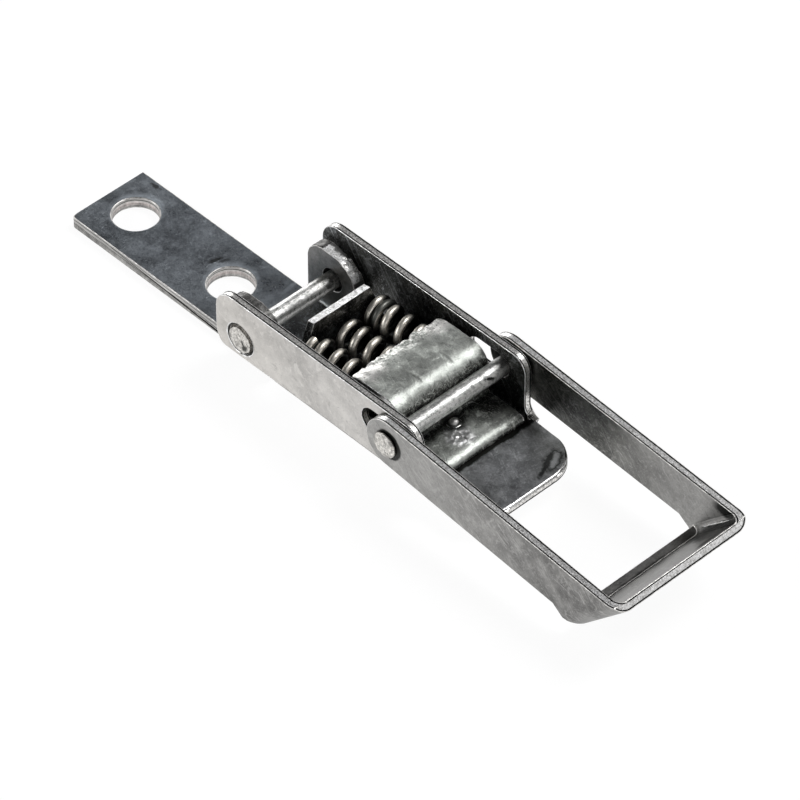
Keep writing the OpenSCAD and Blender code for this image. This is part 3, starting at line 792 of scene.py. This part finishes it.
class LATCH_OT_base(bpy.types.Operator):
    """Dress the base plate: dull blue-grey strip, punched sides, rounded hole rims and ears with torn rims"""

    bl_idname = "latch.base"
    bl_label = "Base plate"

    def execute(self, context):
        c, z = context.scene.latch_colours, context.scene.latch_sizes
        marks = [dab(shade(c.oil_and_shade, 0.5), (3.7, 1.3, 1.5), (0.26, 0.95, 0.3), 0.85, turn=(0, 0, -14), ragged=0.6),
                 dab(shade(c.oil_and_shade, 0.8), (4.35, 1.85, 1.5), (0.2, 0.7, 0.3), 0.6, turn=(0, 0, -20), ragged=0.8),
                 dab(shade(c.base, 1.9), (12.2, 4.0, 1.5), (0.25, 1.3, 0.3), 0.5, turn=(0, 0, 8), ragged=0.6),
                 dab(shade(c.oil_and_shade, 0.6), (-9.3, 4.5, 1.5), (0.75, 0.26, 0.3), 0.85, turn=(0, 0, 4), ragged=0.9, grain=2200),
                 dab(shade(c.base, 1.6), (-6.0, -3.6, 1.5), (2.6, 0.5, 0.3), 0.25, turn=(0, 0, 20), ragged=0.8),
                 # The last mark is a painted highlight: a light ring round each mounting hole's rolled rim, widest on
                 # its far left side.
                 (lambda s: s.times(s.by_holes((-0.3, 0.3, 1.5), (2.85, 2.85, 0.4), ragged=0.08, soft=0.13), 0.75), shade(c.base, 2.3))]

        def shaded(s):
            """1 on the strip between the ears and on the ears' feet."""
            return s.times(s.band(s.along("X", 2, 700), 13.6 * MM, 15.2 * MM), 0.9)

        def near_half_shade(s):
            """Painted shade: 1 on each mounting hole's near half, so that its edge shows no light line there."""
            return s.by_holes((1.75, -1.7, 1.45), (2.3, 2.3, 0.5), ragged=0.1, soft=0.3)

        def outer_part_shade(s):
            """Painted shade: 1 on the outer part of the far ear's rim."""
            return s.times(s.band(s.along("Y", 1.4, 900, 0.65), 5.85 * MM, 6.1 * MM), 0.9)

        steel = rolled_sheet("base_rolled", c.base, rough=0.33, mottle=0.22, speckle=0.4, scratches=0.15,
                             marks=marks, shading=(shaded, shade(c.oil_and_shade, 1.2)))
        ear = rolled_sheet("ear_rolled", shade(c.lever, 0.36), rough=0.4, mottle=0.5, pale=0.7, scratches=0.3,
                           marks=[dab(shade(c.oil_and_shade, 0.8), (17.6, 5.0, 4.6), (2.4, 0.6, 2.7), 0.9, ragged=0.7, soft=0.5)])
        cut = punched_steel("base_punched", shade(c.sheared, 0.82), shade(c.oil_and_shade, 0.7))
        torn = torn_steel("ear_torn", c.bright, rough=0.46, dark=0.15, metallic=0.3, grain=3000,
                          marks=[(outer_part_shade, shade(c.sheared, 0.12))])
        # A much darker copy of the torn steel: painted shade on the torn rims away from the far ear's front, and on the
        # pivot holes' walls.
        worn = torn_steel("ear_rim_shaded", shade(c.sheared, 0.2), rough=0.48, dark=0.3, grain=2600)
        # Painted shade on the rolled edges round the pivot holes in the ears.
        bores = dab(shade(c.oil_and_shade, 0.6), (17.75, 0, 5.7), (1.8, 6.7, 1.8), ragged=0.02, soft=0.03)
        edge = plain_line("base_edge", shade(c.sheared, 0.9), rough=0.4, marks=[(near_half_shade, shade(c.base, 0.6)), bores])
        b = welded("base_plate")
        cuts = set(cut_faces(b, BASE_SHEET))
        for f in cuts:
            f.material_index = LINE
        corner = [e for e in b.edges if all(v.co.x < -11.9 * MM and v.co.y < -5.0 * MM for v in e.verts)
                  and abs(e.verts[0].co.z - e.verts[1].co.z) > 1.4 * MM]
        round_off(b, corner, z.corner_round, 4, LINE)
        # Only the far ear's front rim keeps the bright torn steel; the other torn rims and the pivot holes' walls get
        # its painted-shade copy.
        for f in tear_ears(b, cuts, z.torn):
            f.material_index = RIM if centre(f).y > 0 and centre(f).x > 16.5 else SEAT
        for f in b.faces:
            if f.material_index == BROAD and centre(f).z > 2.4:
                f.material_index = INSIDE
            elif from_pivot(centre(f)) < 1.7:
                f.material_index = SEAT

        def share(e):
            """The full width round the mounting holes and along the strip's top, half of it elsewhere."""
            flat = all(abs(v.co.z - BASE_SHEET) < 0.01 * MM and v.co.x < 12.5 * MM for v in e.verts)
            return 1.0 if flat else 0.5

        mark_sharp(b, share=share)
        finish_piece(b, "base_plate_dressed", "base", (steel, cut, torn, edge, ear, worn), z.hole_round,
                     ("base_plate",))
        return {"FINISHED"}


class LATCH_OT_lever(bpy.types.Operator):
    """Dress the lever: speckled warm grey outside, dark oiled inside with painted shade down the channel, and rims with
    a groove painted near black as shade and a torn band
    """

    bl_idname = "latch.lever"
    bl_label = "Lever"

    def execute(self, context):
        c, z = context.scene.latch_colours, context.scene.latch_sizes
        marks = [dab((0.72, 0.68, 0.62), (15.0, -8.0, 5.5), (9.0, 1.0, 7.0), 0.22, ragged=0.5, soft=0.6),
                 dab(shade(c.lever, 1.5), (17.6, -8.0, 7.6), (2.4, 0.6, 0.8), 0.25, ragged=0.8, soft=0.5),
                 # The next two marks are painted shade in the rings round the pivot pin's ends on both side plates.
                 dab(shade(c.oil_and_shade, 0.25), (17.86, -8.0, 5.75), (2.0, 0.5, 2.0), ragged=0.07, soft=0.04),
                 dab(shade(c.oil_and_shade, 0.25), (17.78, 8.0, 5.72), (2.02, 0.5, 2.02), ragged=0.04, soft=0.04),
                 dab(shade(c.oil_and_shade, 1.0), (46.4, 7.3, 3.0), (1.4, 0.9, 1.4), 0.85, ragged=0.3)]
        outside = rolled_sheet("lever_rolled", c.lever, rough=0.4, mottle=0.23, speckle=0.22, pale=0.5, scratches=0.1, marks=marks)

        def worn(s):
            """The ragged dark outline of the tab's worn corner."""
            form = {"turn": (0, 0, -62), "ragged": 0.7, "soft": 0.25, "grain": 1500}
            whole, middle = (s.spot((50.85, 4.6, TAB_TOP), radii, **form) for radii in ((1.65, 0.95, 0.5), (1.1, 0.5, 0.5)))
            form = {"ragged": 0.9, "soft": 0.4, "grain": 1700}
            smears = (s.spot((50.45, 4.3, TAB_TOP), (1.2, 0.34, 0.5), (0, 0, -66), **form),
                      s.spot((51.15, 3.0, TAB_TOP), (1.5, 0.26, 0.5), (0, 0, -70), **form))
            return s.times(s.most(s.times(whole, s.band(middle, 1.0, 0.0)), *smears), 0.88)

        def under_lip(s):
            """1 in the shadow line under the saddle's rolled front edge."""
            along = s.along("X", 0.9, 650)
            return s.times(s.band(along, 44.2 * MM, 44.6 * MM), s.band(along, 45.75 * MM, 45.45 * MM))

        def deep(s):
            """Painted shade: 1 down inside the channel, 0 on the tab."""
            return s.times(s.band(s.along("X", 5, 700), 46.5 * MM, 43.5 * MM), s.band(s.axis("Z"), 2.9 * MM, 3.1 * MM))

        marks = [dab(shade(c.tab, 1.7), (50.95, 4.6, TAB_TOP), (1.3, 0.75, 0.5), 0.6, turn=(0, 0, -62), ragged=0.5),
                 dab(shade(c.oil_and_shade, 1.6), (49.4, -4.6, TAB_TOP), (3.4, 2.2, 0.5), 0.45, ragged=0.6, soft=0.7),
                 (under_lip, shade(c.oil_and_shade, 0.3)), (worn, shade(c.oil_and_shade, 0.4))]
        # The lever's inside: its own oiled colour, with painted shade down the channel and a painted shadow line under
        # the saddle's front edge.
        inside = rolled_sheet("lever_oiled_and_shaded", shade(c.tab, 1.12), mottle=0.36, pale=0.4, marks=marks, shading=(deep, c.oil_and_shade))
        seat = torn_steel("seat_torn", c.bright, rough=0.45, dark=0.12, metallic=0.6, grain=2400)
        # The rims' side lines are painted near black as shade.
        groove = plain_line("lever_groove", c.shaded_burnish, rough=0.34)
        rim = torn_steel("lever_torn", c.sheared)
        edge = plain_line("lever_edge", shade(c.sheared, 1.15), marks=[
            dab(shade(c.oil_and_shade, 0.9), (49.5, 6.6, 3.2), (3.2, 1.2, 1.2), ragged=0.2, soft=0.2),
            # Painted shade on the seat's edges, down among the springs.
            dab(shade(c.oil_and_shade, 0.9), (24.2, 0, 6.9), (1.3, 6.8, 2.75), ragged=0.02, soft=0.03)])
        b = welded("lever")
        cuts = cut_faces(b, LEVER_SHEET)
        for f in b.faces:
            if abs(centre(f).y) < 7.4 and f.normal.z > -0.5:
                f.material_index = INSIDE
        line_rims(b, cuts, z.rim_line, z.rim_sink)
        # Down in the holes and the channel the darker finishes stand for painted shade: near black on the pivot hole's
        # rims, the shaded inside on the seat's lower faces.
        for f in b.faces:
            at = centre(f)
            if at.z > 10.0 and 23.5 < at.x < 25.0 and abs(at.y) < 4.5 and f.normal.z > 0.7:
                f.material_index = SEAT
            elif from_pivot(at) < 2.1 and f.material_index in (LINE, RIM):
                f.material_index = LINE
            elif 23.4 < at.x < 25.0 and at.z < 10.0 and abs(at.y) < 6.0:
                f.material_index = INSIDE
        for v in {v for f in b.faces if f.material_index == SEAT for v in f.verts}:
            v.co.z -= 0.22 * max(0.0, 24.7 * MM - v.co.x)

        def share(e):
            """The full width on the thumb tab's front edge, less round its corners and a small part elsewhere."""
            small = z.rolled_edge / z.tab_round
            if not all(abs(v.co.z - TAB_TOP * MM) < 0.02 * MM and v.co.x > 47.0 * MM for v in e.verts):
                return small
            return max(small, min(1.0, max(f.normal.x for f in e.link_faces) * 1.2))

        mark_sharp(b, share=share)
        finish_piece(b, "lever_dressed", "lever", (outside, groove, rim, edge, inside, seat), z.tab_round,
                     ("lever",), reach=0.03 * MM)
        return {"FINISHED"}


class LATCH_OT_bail(bpy.types.Operator):
    """Dress the bail: mid-grey steel with crossed scratches, arms darkened inside by painted shade toward the pivot,
    and a folded corner with painted shade
    """

    bl_idname = "latch.bail"
    bl_label = "Bail"

    def execute(self, context):
        c, z = context.scene.latch_colours, context.scene.latch_sizes

        def darker_toward_hook(s):
            """Rises from the pin to the hook, where the bail is darker."""
            return s.band(s.along("X", 10, 300), 43 * MM, 66 * MM, 0.1, 0.85)

        def pivot_end_shade(s):
            """Painted shade: 1 by the pivot, fading to 0 toward the hook."""
            return s.band(s.along("X", 6, 600), 64 * MM, 54 * MM)

        def corner(s):
            """Painted shade: 1 in the far folded corner, beside the hook's rim and along the crease of its lip."""
            fold, by_rim, tip, crease = (s.spot(*place, ragged=0.25, soft=0.25) for place in (
                ((70.5, 7.2, 5.8), (4.2, 1.9, 1.1), (0, -48, 0)), ((72.3, 5.0, 7.5), (0.7, 2.0, 0.7), (0, -48, 0)),
                ((71.1, 8.6, 7.9), (1.7, 0.5, 0.8)), ((68.1, 0.0, 2.9), (0.45, 7.9, 0.5), (0, -30, 0))))
            inner = s.times(s.most(fold, by_rim), s.band(s.axis("Y"), 8.4 * MM, 8.32 * MM))
            return s.most(inner, tip, crease)

        # Painted shade in the rings round the bail pin's head and its far end.
        gap_shade = [dab(shade(c.oil_and_shade, 0.25), (41.14, -9.2, 8.03), (1.82, 0.6, 1.82), ragged=0.08, soft=0.05),
                dab(shade(c.oil_and_shade, 0.25), (41.0, 9.2, 8.0), (1.68, 0.6, 1.68), ragged=0.06, soft=0.06)]
        corner_shade = [(corner, shade(c.oil_and_shade, 0.3))]
        outside = rolled_sheet("bail_rolled", c.bail, rough=0.38, mottle=0.18, speckle=0.3, pale=0.4, scratches=0.2,
                               marks=gap_shade, shading=(darker_toward_hook, shade(c.bail, 0.42)), hatch=0.32)
        # The arms' insides: a darker copy of the bail's steel as painted shade, darker still toward the pivot and in
        # the folded corner.
        inside = rolled_sheet("bail_inside_shaded", shade(c.bail, 0.75), speckle=0.45, pale=0.45,
                              marks=corner_shade, shading=(pivot_end_shade, shade(c.oil_and_shade, 1.4)), hatch=0.3)
        # The lip down by the lever: a much darker copy of the bail's steel as painted shade.
        hook = rolled_sheet("hook_lip_shaded", shade(c.bail, 0.42), rough=0.33, mottle=0.4, speckle=0.3, scratches=0.3, marks=corner_shade)
        # The rims' side lines are painted near black as shade.
        groove = plain_line("bail_groove", c.shaded_burnish, rough=0.34)
        rim = torn_steel("bail_torn", shade(c.sheared, 1.35))
        edge = plain_line("bail_edge", c.sheared, rough=0.38)
        ridge = plain_line("bail_ridge", shade(c.sheared, 1.45), rough=0.4)
        b = welded("bail")
        cuts = cut_faces(b, BAIL_SHEET)
        for f in b.faces:
            at = centre(f)
            if f.normal.y * at.y < -0.5 * abs(at.y) and abs(at.y) < 9.2:
                f.material_index = INSIDE
            elif abs(at.y) < 8.4 and at.x < 68.6 and f.material_index == BROAD:
                f.material_index = SEAT
            elif f.normal.x < -0.3 and f.normal.z > 0.2 and at.x > 67.0:
                f.material_index = INSIDE
        line_rims(b, cuts, z.rim_line, z.rim_sink)
        mark_sharp(b)
        finish_piece(b, "bail_dressed", "bail", (outside, groove, rim, edge, inside, hook), z.rolled_edge,
                     ("bail",), reach=0.03 * MM)
        b = bmesh.new()
        for side in (-1, 1):
            add_burr(b, Vector((68.1, side * 8.33, 3.75)), Vector((71.75, side * 8.26, 7.4)), 0.11)
        finish_piece(b, "bail_burrs", "bail", (ridge,), z.rolled_edge / 4, ())
        return {"FINISHED"}


class LATCH_OT_pins(bpy.types.Operator):
    """Turn the riveted pivot pin and the headed bail pin, with peened and domed ends"""

    bl_idname = "latch.pins"
    bl_label = "Pins"

    def execute(self, context):
        c, z = context.scene.latch_colours, context.scene.latch_sizes

        def under(level):
            """Makes a mask of painted shade on a pin's underside: 1 below this height in millimetres."""
            return lambda s: s.times(s.band(s.along("Z", 0.5, 1100, 0.65), level * MM, (level - 0.3) * MM), 0.85)

        # A dark ragged patch on the pivot pin just before the far ear.
        dark_patch_by_far_ear = dab(shade(c.oil_and_shade, 1.2), (17.6, 4.1, 6.3), (1.2, 1.0, 1.2), 0.8, ragged=1.3, grain=1900)
        far_end = dab(shade(c.oil_and_shade, 1.3), (41.0, 7.6, 8.0), (2.0, 1.9, 2.0), 0.75, ragged=0.3, soft=0.4)
        scratch = dab(shade(c.oil_and_shade, 0.4), (41.7, 4.6, 8.42), (0.1, 0.7, 0.4), turn=(0, 0, -16), ragged=0.9, grain=2600)
        notches = [dab(shade(c.oil_and_shade, 1.0), (18.45, -8.1, 4.95), (0.3, 0.4, 0.5), turn=(0, 30, 0), ragged=0.4),
                   dab(shade(c.oil_and_shade, 1.0), (18.3, -8.1, 5.6), (0.12, 0.4, 0.45), turn=(0, -20, 0), ragged=0.5)]
        pivot_bar = drawn_steel("pivot_drawn", shade(c.pin, 1.2), marks=[(under(5.9), shade(c.oil_and_shade, 0.9)), dark_patch_by_far_ear])
        bail_bar = drawn_steel("bail_drawn", shade(c.pin, 1.1), marks=[(under(7.75), shade(c.oil_and_shade, 1.2)), far_end, scratch])
        head = drawn_steel("pin_peened", (0.69, 0.67, 0.635), rough=0.4, marks=notches)
        b = turned(PIVOT, [(6.9, 1.025), (7.35, 1.025), (7.6, 1.24), (7.84, 1.5), (7.96, 1.57), (8.03, 1.5), (8.1, 1.3),
                           (8.16, 0.95), (8.19, 0.5), (8.2, 0)])
        for v in b.verts:
            x, y, w = (v.co - PIVOT) / MM
            out, side, turn = ramp((abs(y) - 7.4) / 0.5), math.copysign(1, y), math.atan2(w, x)
            uneven = 1 + out * 0.05 * ripple(2 * math.cos(turn), 2 * math.sin(turn), y, 1.1)
            dent = 0.1 * math.exp(-((x - 0.75) / 0.35) ** 2 - ((w + 0.75) / 0.4) ** 2) + 0.03 * ripple(x, w, side, 0.5)
            v.co = PIVOT + Vector((x * uneven - 0.11 * out, y - side * out * dent, w * uneven - 0.17 * out)) * MM
        self.finish_pin(b, "pivot_pin", "lever", (pivot_bar, head), 7.45)
        b = turned(BAIL_PIN, [(9.0, 1.025), (9.3, 1.025), (9.3, 1.36), (9.33, 1.46), (9.4, 1.5), (9.5, 1.5), (9.58, 1.46),
                              (9.65, 1.34), (9.7, 1.1), (9.73, 0.7), (9.735, 0.3), (9.735, 0)])
        for v in b.verts:
            x, y, w = (v.co - BAIL_PIN) / MM
            if abs(y) > 9.35:
                side = math.copysign(1, y)
                v.co.y -= side * 0.025 * (1 + ripple(x, w, side, 0.45)) * MM
        self.finish_pin(b, "bail_pin", "slider", (bail_bar, head), 9.25)
        return {"FINISHED"}

    def finish_pin(self, b, node, body, materials, reach):
        """Gives the bar the drawn finish and its heads, beyond reach millimetres, the peened one."""
        for f in b.faces:
            f.material_index = 1 if abs(centre(f).y) > reach else 0
        mark_sharp(b, 60)
        width = bpy.context.scene.latch_sizes.rolled_edge / 2
        finish_piece(b, node + "_dressed", body, materials, width, (node,))


class LATCH_OT_saddle(bpy.types.Operator):
    """Form the saddle: a dented cover with a torn free edge, creases over its bend, a pip and a wrinkled collar"""

    bl_idname = "latch.saddle"
    bl_label = "Saddle"

    def execute(self, context):
        c, z = context.scene.latch_colours, context.scene.latch_sizes

        def below(s):
            """Painted shade: 1 down the wall, along the bend's far end, on the foot close to the wall and under its
            rolled front edge.
            """
            ragged = s.sum(s.drift(1.3, 800), s.drift(0.5, 3200, 0.7))
            high, along = s.sum(s.axis("Z"), ragged), s.sum(s.axis("X"), ragged)
            wall = s.times(s.band(high, 9.5 * MM, 8.9 * MM), s.band(along, 41.3 * MM, 40.6 * MM))
            end = s.times(s.spot((39.3, 6.4, 9.0), (1.7, 0.9, 2.0), ragged=0.4, soft=0.5), 0.9)
            corner = s.spot((41.6, 4.6, 4.3), (1.5, 2.4, 0.9), ragged=0.5, soft=0.6)
            front = s.times(s.spot((44.6, 5.3, 4.0), (1.3, 2.4, 1.2), ragged=0.4, soft=0.6), 0.7)
            lip = s.times(s.band(s.axis("Z"), 3.95 * MM, 3.75 * MM), s.band(s.axis("X"), 44.2 * MM, 44.6 * MM))
            return s.most(wall, end, corner, front, lip)

        def grains(centre, radii, ragged, soft, noise, low, high, strength):
            """Makes a mask of grains inside a spot."""
            return lambda s: s.times(s.times(s.spot(centre, radii, ragged=ragged, soft=soft), s.band(s.noise(*noise), low, high)), strength)

        crumbs = functools.partial(grains, (32.5, 0.0, 10.0), (1.5, 6.6, 1.0), 0.9, 0.5, (2900, 4, 0.75))
        clouds = grains((35.9, 0.4, 10.0), (2.1, 7.0, 0.8), 0.7, 0.6, (750, 4, 0.65), 0.36, 0.56, 0.75)
        # A light patch on the wrinkled collar: bare steel with a painted highlight on it, then dark grains in it.
        marks = [dab(shade(c.sheared, 1.6), (42.5, -0.6, 4.5), (1.45, 1.35, 0.9), 0.95, ragged=0.8, grain=2200),
                 dab(shade(c.saddle, 0.4), (42.7, -0.8, 4.5), (0.8, 0.9, 0.9), 0.3, ragged=1.4, grain=4200),
                 # Painted shadow of the bail pin on the foot round the pip, then a painted highlight on the pip's top.
                 dab(shade(c.oil_and_shade, 0.6), (40.75, 0.3, 4.4), (1.4, 1.25, 1.2), 0.9, ragged=0.3, soft=0.3),
                 dab(shade(c.sheared, 1.4), (40.8, 0.22, 4.95), (0.55, 0.55, 0.42), ragged=0.3, soft=0.3),
                 # Painted highlight along the foot's rolled front edge.
                 dab(shade(c.saddle, 1.4), (44.6, -2.6, 4.3), (0.6, 3.2, 0.7), 0.4, ragged=0.7, soft=0.5),
                 # Painted highlights on the torn free edge's far and near corners.
                 dab(shade(c.sheared, 1.45), (33.0, 5.0, 10.0), (1.5, 1.5, 1.0), 0.9, ragged=0.8),
                 dab(shade(c.sheared, 1.45), (33.0, -4.6, 10.0), (1.8, 1.7, 1.0), 0.9, ragged=0.9),
                 (crumbs(0.5, 0.56, 0.95), shade(c.sheared, 1.4)), (crumbs(0.45, 0.4, 0.95), shade(c.saddle, 0.25)),
                 (crumbs(0.38, 0.34, 0.95), shade(c.oil_and_shade, 0.8)),
                 dab(shade(c.oil_and_shade, 1.0), (39.75, -2.94, 9.6), (0.35, 0.3, 0.5), ragged=0.4),
                 dab(shade(c.saddle, 0.45), (34.6, 3.0, 10.0), (1.6, 0.7, 0.6), 0.5, turn=(0, 0, 50), ragged=0.9),
                 dab(shade(c.saddle, 0.45), (36.2, -3.2, 10.0), (1.5, 1.6, 0.6), 0.35, ragged=1.0),
                 (clouds, shade(c.saddle, 0.42))]
        steel = rolled_sheet("saddle_rolled", c.saddle, rough=0.47, mottle=0.36, pale=0.8, scratches=0.3,
                             marks=marks, shading=(below, shade(c.oil_and_shade, 0.6)), bumpy=2.2)
        rim = torn_steel("saddle_torn", shade(c.sheared, 1.25), rough=0.3)
        edge = plain_line("saddle_edge", shade(c.sheared, 1.3), rough=0.28)
        b = sheet_block((130, 92, 6), lambda u, v, w: saddle_point(u, v, w, z.crumple))
        b.normal_update()
        for f in b.faces:
            at = centre(f)
            side = abs(f.normal.y) > 0.7 and abs(at.y) > 6.1
            free_edge = f.normal.x < -0.6 and at.x < 33.4 and at.z > 8.6
            f.material_index = RIM if side or free_edge else BROAD
        mark_sharp(b, 50)
        finish_piece(b, "saddle_dressed", "slider", (steel, rim, rim, edge), z.rolled_edge * 0.8, ("saddle",))
        return {"FINISHED"}


class LATCH_OT_springs(bpy.types.Operator):
    """Wind the three coil springs between the lever's seat and the saddle"""

    bl_idname = "latch.springs"
    bl_label = "Springs"

    def execute(self, context):
        c, z = context.scene.latch_colours, context.scene.latch_sizes
        tree = spring_tree()
        flat = dab(shade(c.oil_and_shade, 2.6), (26.29, 4.3, 7.0), (0.5, 6.0, 6.0), ragged=0.02, soft=0.03)
        seat = PIVOT.x + 6.9 * MM
        for node, phase, closed in (("spring_near", 90, 0.75), ("spring_middle", 235, 0.9), ("spring_far", 350, 2.0)):
            low, high = (Vector(v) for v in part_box(node))
            start, end = seat + 0.02 * MM + z.wire / 2, high.x - z.wire / 2
            free = end - start - z.closed_pitch * (closed + 1)
            open_turns = round(4 * free / z.open_pitch) / 4
            turns = open_turns + closed + 1
            side, height = (low.y + high.y) / 2, (low.z + high.z) / 2
            wire = wire_steel(node + "_wire", c.spring, shade(c.oil_and_shade, 0.4), side, height, [flat] if node == "spring_far" else [])
            piece = wind_spring(node + "_wound", tree, {
                "Start": start, "Side": side, "Height": height, "Coil Radius": (z.coil - z.wire) / 2, "Wire Radius": z.wire / 2,
                "Phase": math.radians(phase), "Turns": turns, "Closed Turns": closed, "Closed Pitch": z.closed_pitch,
                "Open Pitch": free / open_turns, "Steps": int(turns * z.turn_steps) + 1, "Wire Sides": z.wire_sides,
                "Material": wire})
            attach(piece, "lever")
            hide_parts(node)
            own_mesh(piece)
        return {"FINISHED"}


class LATCH_OT_stage(bpy.types.Operator):
    """Set up the floor with its raised rim, the lamps and the camera"""

    bl_idname = "latch.stage"
    bl_label = "Studio"

    def execute(self, context):
        c, z = context.scene.latch_colours, context.scene.latch_sizes
        floor = studio_bowl(z.floor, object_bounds()[0][2] - 0.02 * MM)
        floor.data.materials.append(floor_paint(c.floor))
        floor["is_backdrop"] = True
        world = bpy.data.worlds.new("studio")
        world.use_nodes = True
        world.node_tree.nodes["Background"].inputs["Color"].default_value = (0.07, 0.07, 0.075, 1)
        context.scene.world = world
        context.scene.view_settings.view_transform = "Standard"
        add_lamp("key", (0.2, 0.5, 0.85), 0.9, 0.42, 4.2)
        add_lamp("side", (-0.5, -0.7, 0.5), 1.0, 0.36, 2.6)
        add_lamp("front", (0.75, -0.25, 0.35), 1.1, 0.3, 0.9)
        add_lamp("back", (-0.84, 0.5, 0.16), 1.0, 0.34, 1.8)
        add_camera(context.scene)
        return {"FINISHED"}


def studio_bowl(radius, height):
    """A round floor that curves up into a low wall all round."""
    bend, wall, first, steps = 0.25, 0.62, 0.1, 10
    angles = (first + (math.pi / 2 - first) * k / (steps - 1) for k in range(steps))
    profile = [(0.0, 0.0), (radius, 0.0)]
    profile += [(radius + bend * math.sin(a), bend - bend * math.cos(a)) for a in angles]
    profile.append((radius + bend, wall))
    b = bmesh.new()
    skin(b, [[(x, y, height + h) for x, y in circle(r, 96)] for r, h in profile])
    mesh = bpy.data.meshes.new("studio_bowl")
    b.to_mesh(mesh)
    b.free()
    for p in mesh.polygons:
        p.use_smooth = True
    floor = bpy.data.objects.new("studio_bowl", mesh)
    bpy.context.scene.collection.objects.link(floor)
    return floor


def floor_paint(colour):
    """Matt white that the camera, metal and glass see as plain white, with only a faint shadow."""
    s = Shader("studio_white")
    s.bsdf.inputs["Roughness"].default_value = 0.95
    s.bsdf.inputs["Specular IOR Level"].default_value = 0.0
    path = s.node("LightPath").outputs
    seen = s.most(path["Is Camera Ray"], path["Is Glossy Ray"], path["Is Transmission Ray"])
    s.feed(s.bsdf.inputs["Base Color"], s.tint(seen, colour, shade(colour, 0.12)))
    s.bsdf.inputs["Emission Color"].default_value = (1, 1, 1, 1)
    s.feed(s.bsdf.inputs["Emission Strength"], s.times(seen, 0.93))
    return s.material


def add_lamp(name, direction, distance, size, power):
    """A round lamp that points at the middle of the latch from this direction."""
    lamp = bpy.data.lights.new(name, "AREA")
    lamp.shape = "DISK"
    lamp.size = size
    lamp.energy = power
    o = bpy.data.objects.new(name, lamp)
    bpy.context.scene.collection.objects.link(o)
    way = Vector(direction).normalized()
    o.location = Vector((30, 0, 4)) * MM + way * distance
    o.rotation_euler = way.to_track_quat("Z", "Y").to_euler()


def add_camera(scene):
    """The photograph's view: a long lens from the front right, above."""
    data = bpy.data.cameras.new("camera")
    data.sensor_width = 36.0
    data.lens = 253.39
    data.clip_start = 0.01
    data.clip_end = 20.0
    camera = bpy.data.objects.new("camera", data)
    scene.collection.objects.link(camera)
    away = Vector((0.51801, -0.49558, 0.69719)).normalized()
    camera.location = Vector((33.22, -0.04, 2.56)) * MM + away * 577.285 * MM
    camera.rotation_euler = away.to_track_quat("Z", "Y").to_euler()
    scene.camera = camera


class LATCH_PT_panel(bpy.types.Panel):
    """Lists the latch's pieces in the sidebar"""

    bl_idname = "LATCH_PT_panel"
    bl_label = "Toggle latch"
    bl_space_type = "VIEW_3D"
    bl_region_type = "UI"
    bl_category = "Latch"

    def draw(self, context):
        for group in (context.scene.latch_sizes, context.scene.latch_colours):
            for name in group.bl_rna.properties.keys():
                if name not in ("rna_type", "name"):
                    self.layout.prop(group, name)
        for operator in OPERATORS:
            self.layout.operator(operator.bl_idname)


OPERATORS = (LATCH_OT_base, LATCH_OT_lever, LATCH_OT_pins, LATCH_OT_saddle, LATCH_OT_bail, LATCH_OT_springs, LATCH_OT_stage)
CLASSES = (LatchSizes, LatchColours, *OPERATORS, LATCH_PT_panel)


def register():
    for c in CLASSES:
        bpy.utils.register_class(c)
    bpy.types.Scene.latch_sizes = PointerProperty(type=LatchSizes)
    bpy.types.Scene.latch_colours = PointerProperty(type=LatchColours)


def unregister():
    del bpy.types.Scene.latch_colours
    del bpy.types.Scene.latch_sizes
    for c in reversed(CLASSES):
        bpy.utils.unregister_class(c)


def main():
    register()
    for operator in OPERATORS:
        group, name = operator.bl_idname.split(".")
        getattr(getattr(bpy.ops, group), name)()


if __name__ == "__main__":
    main()
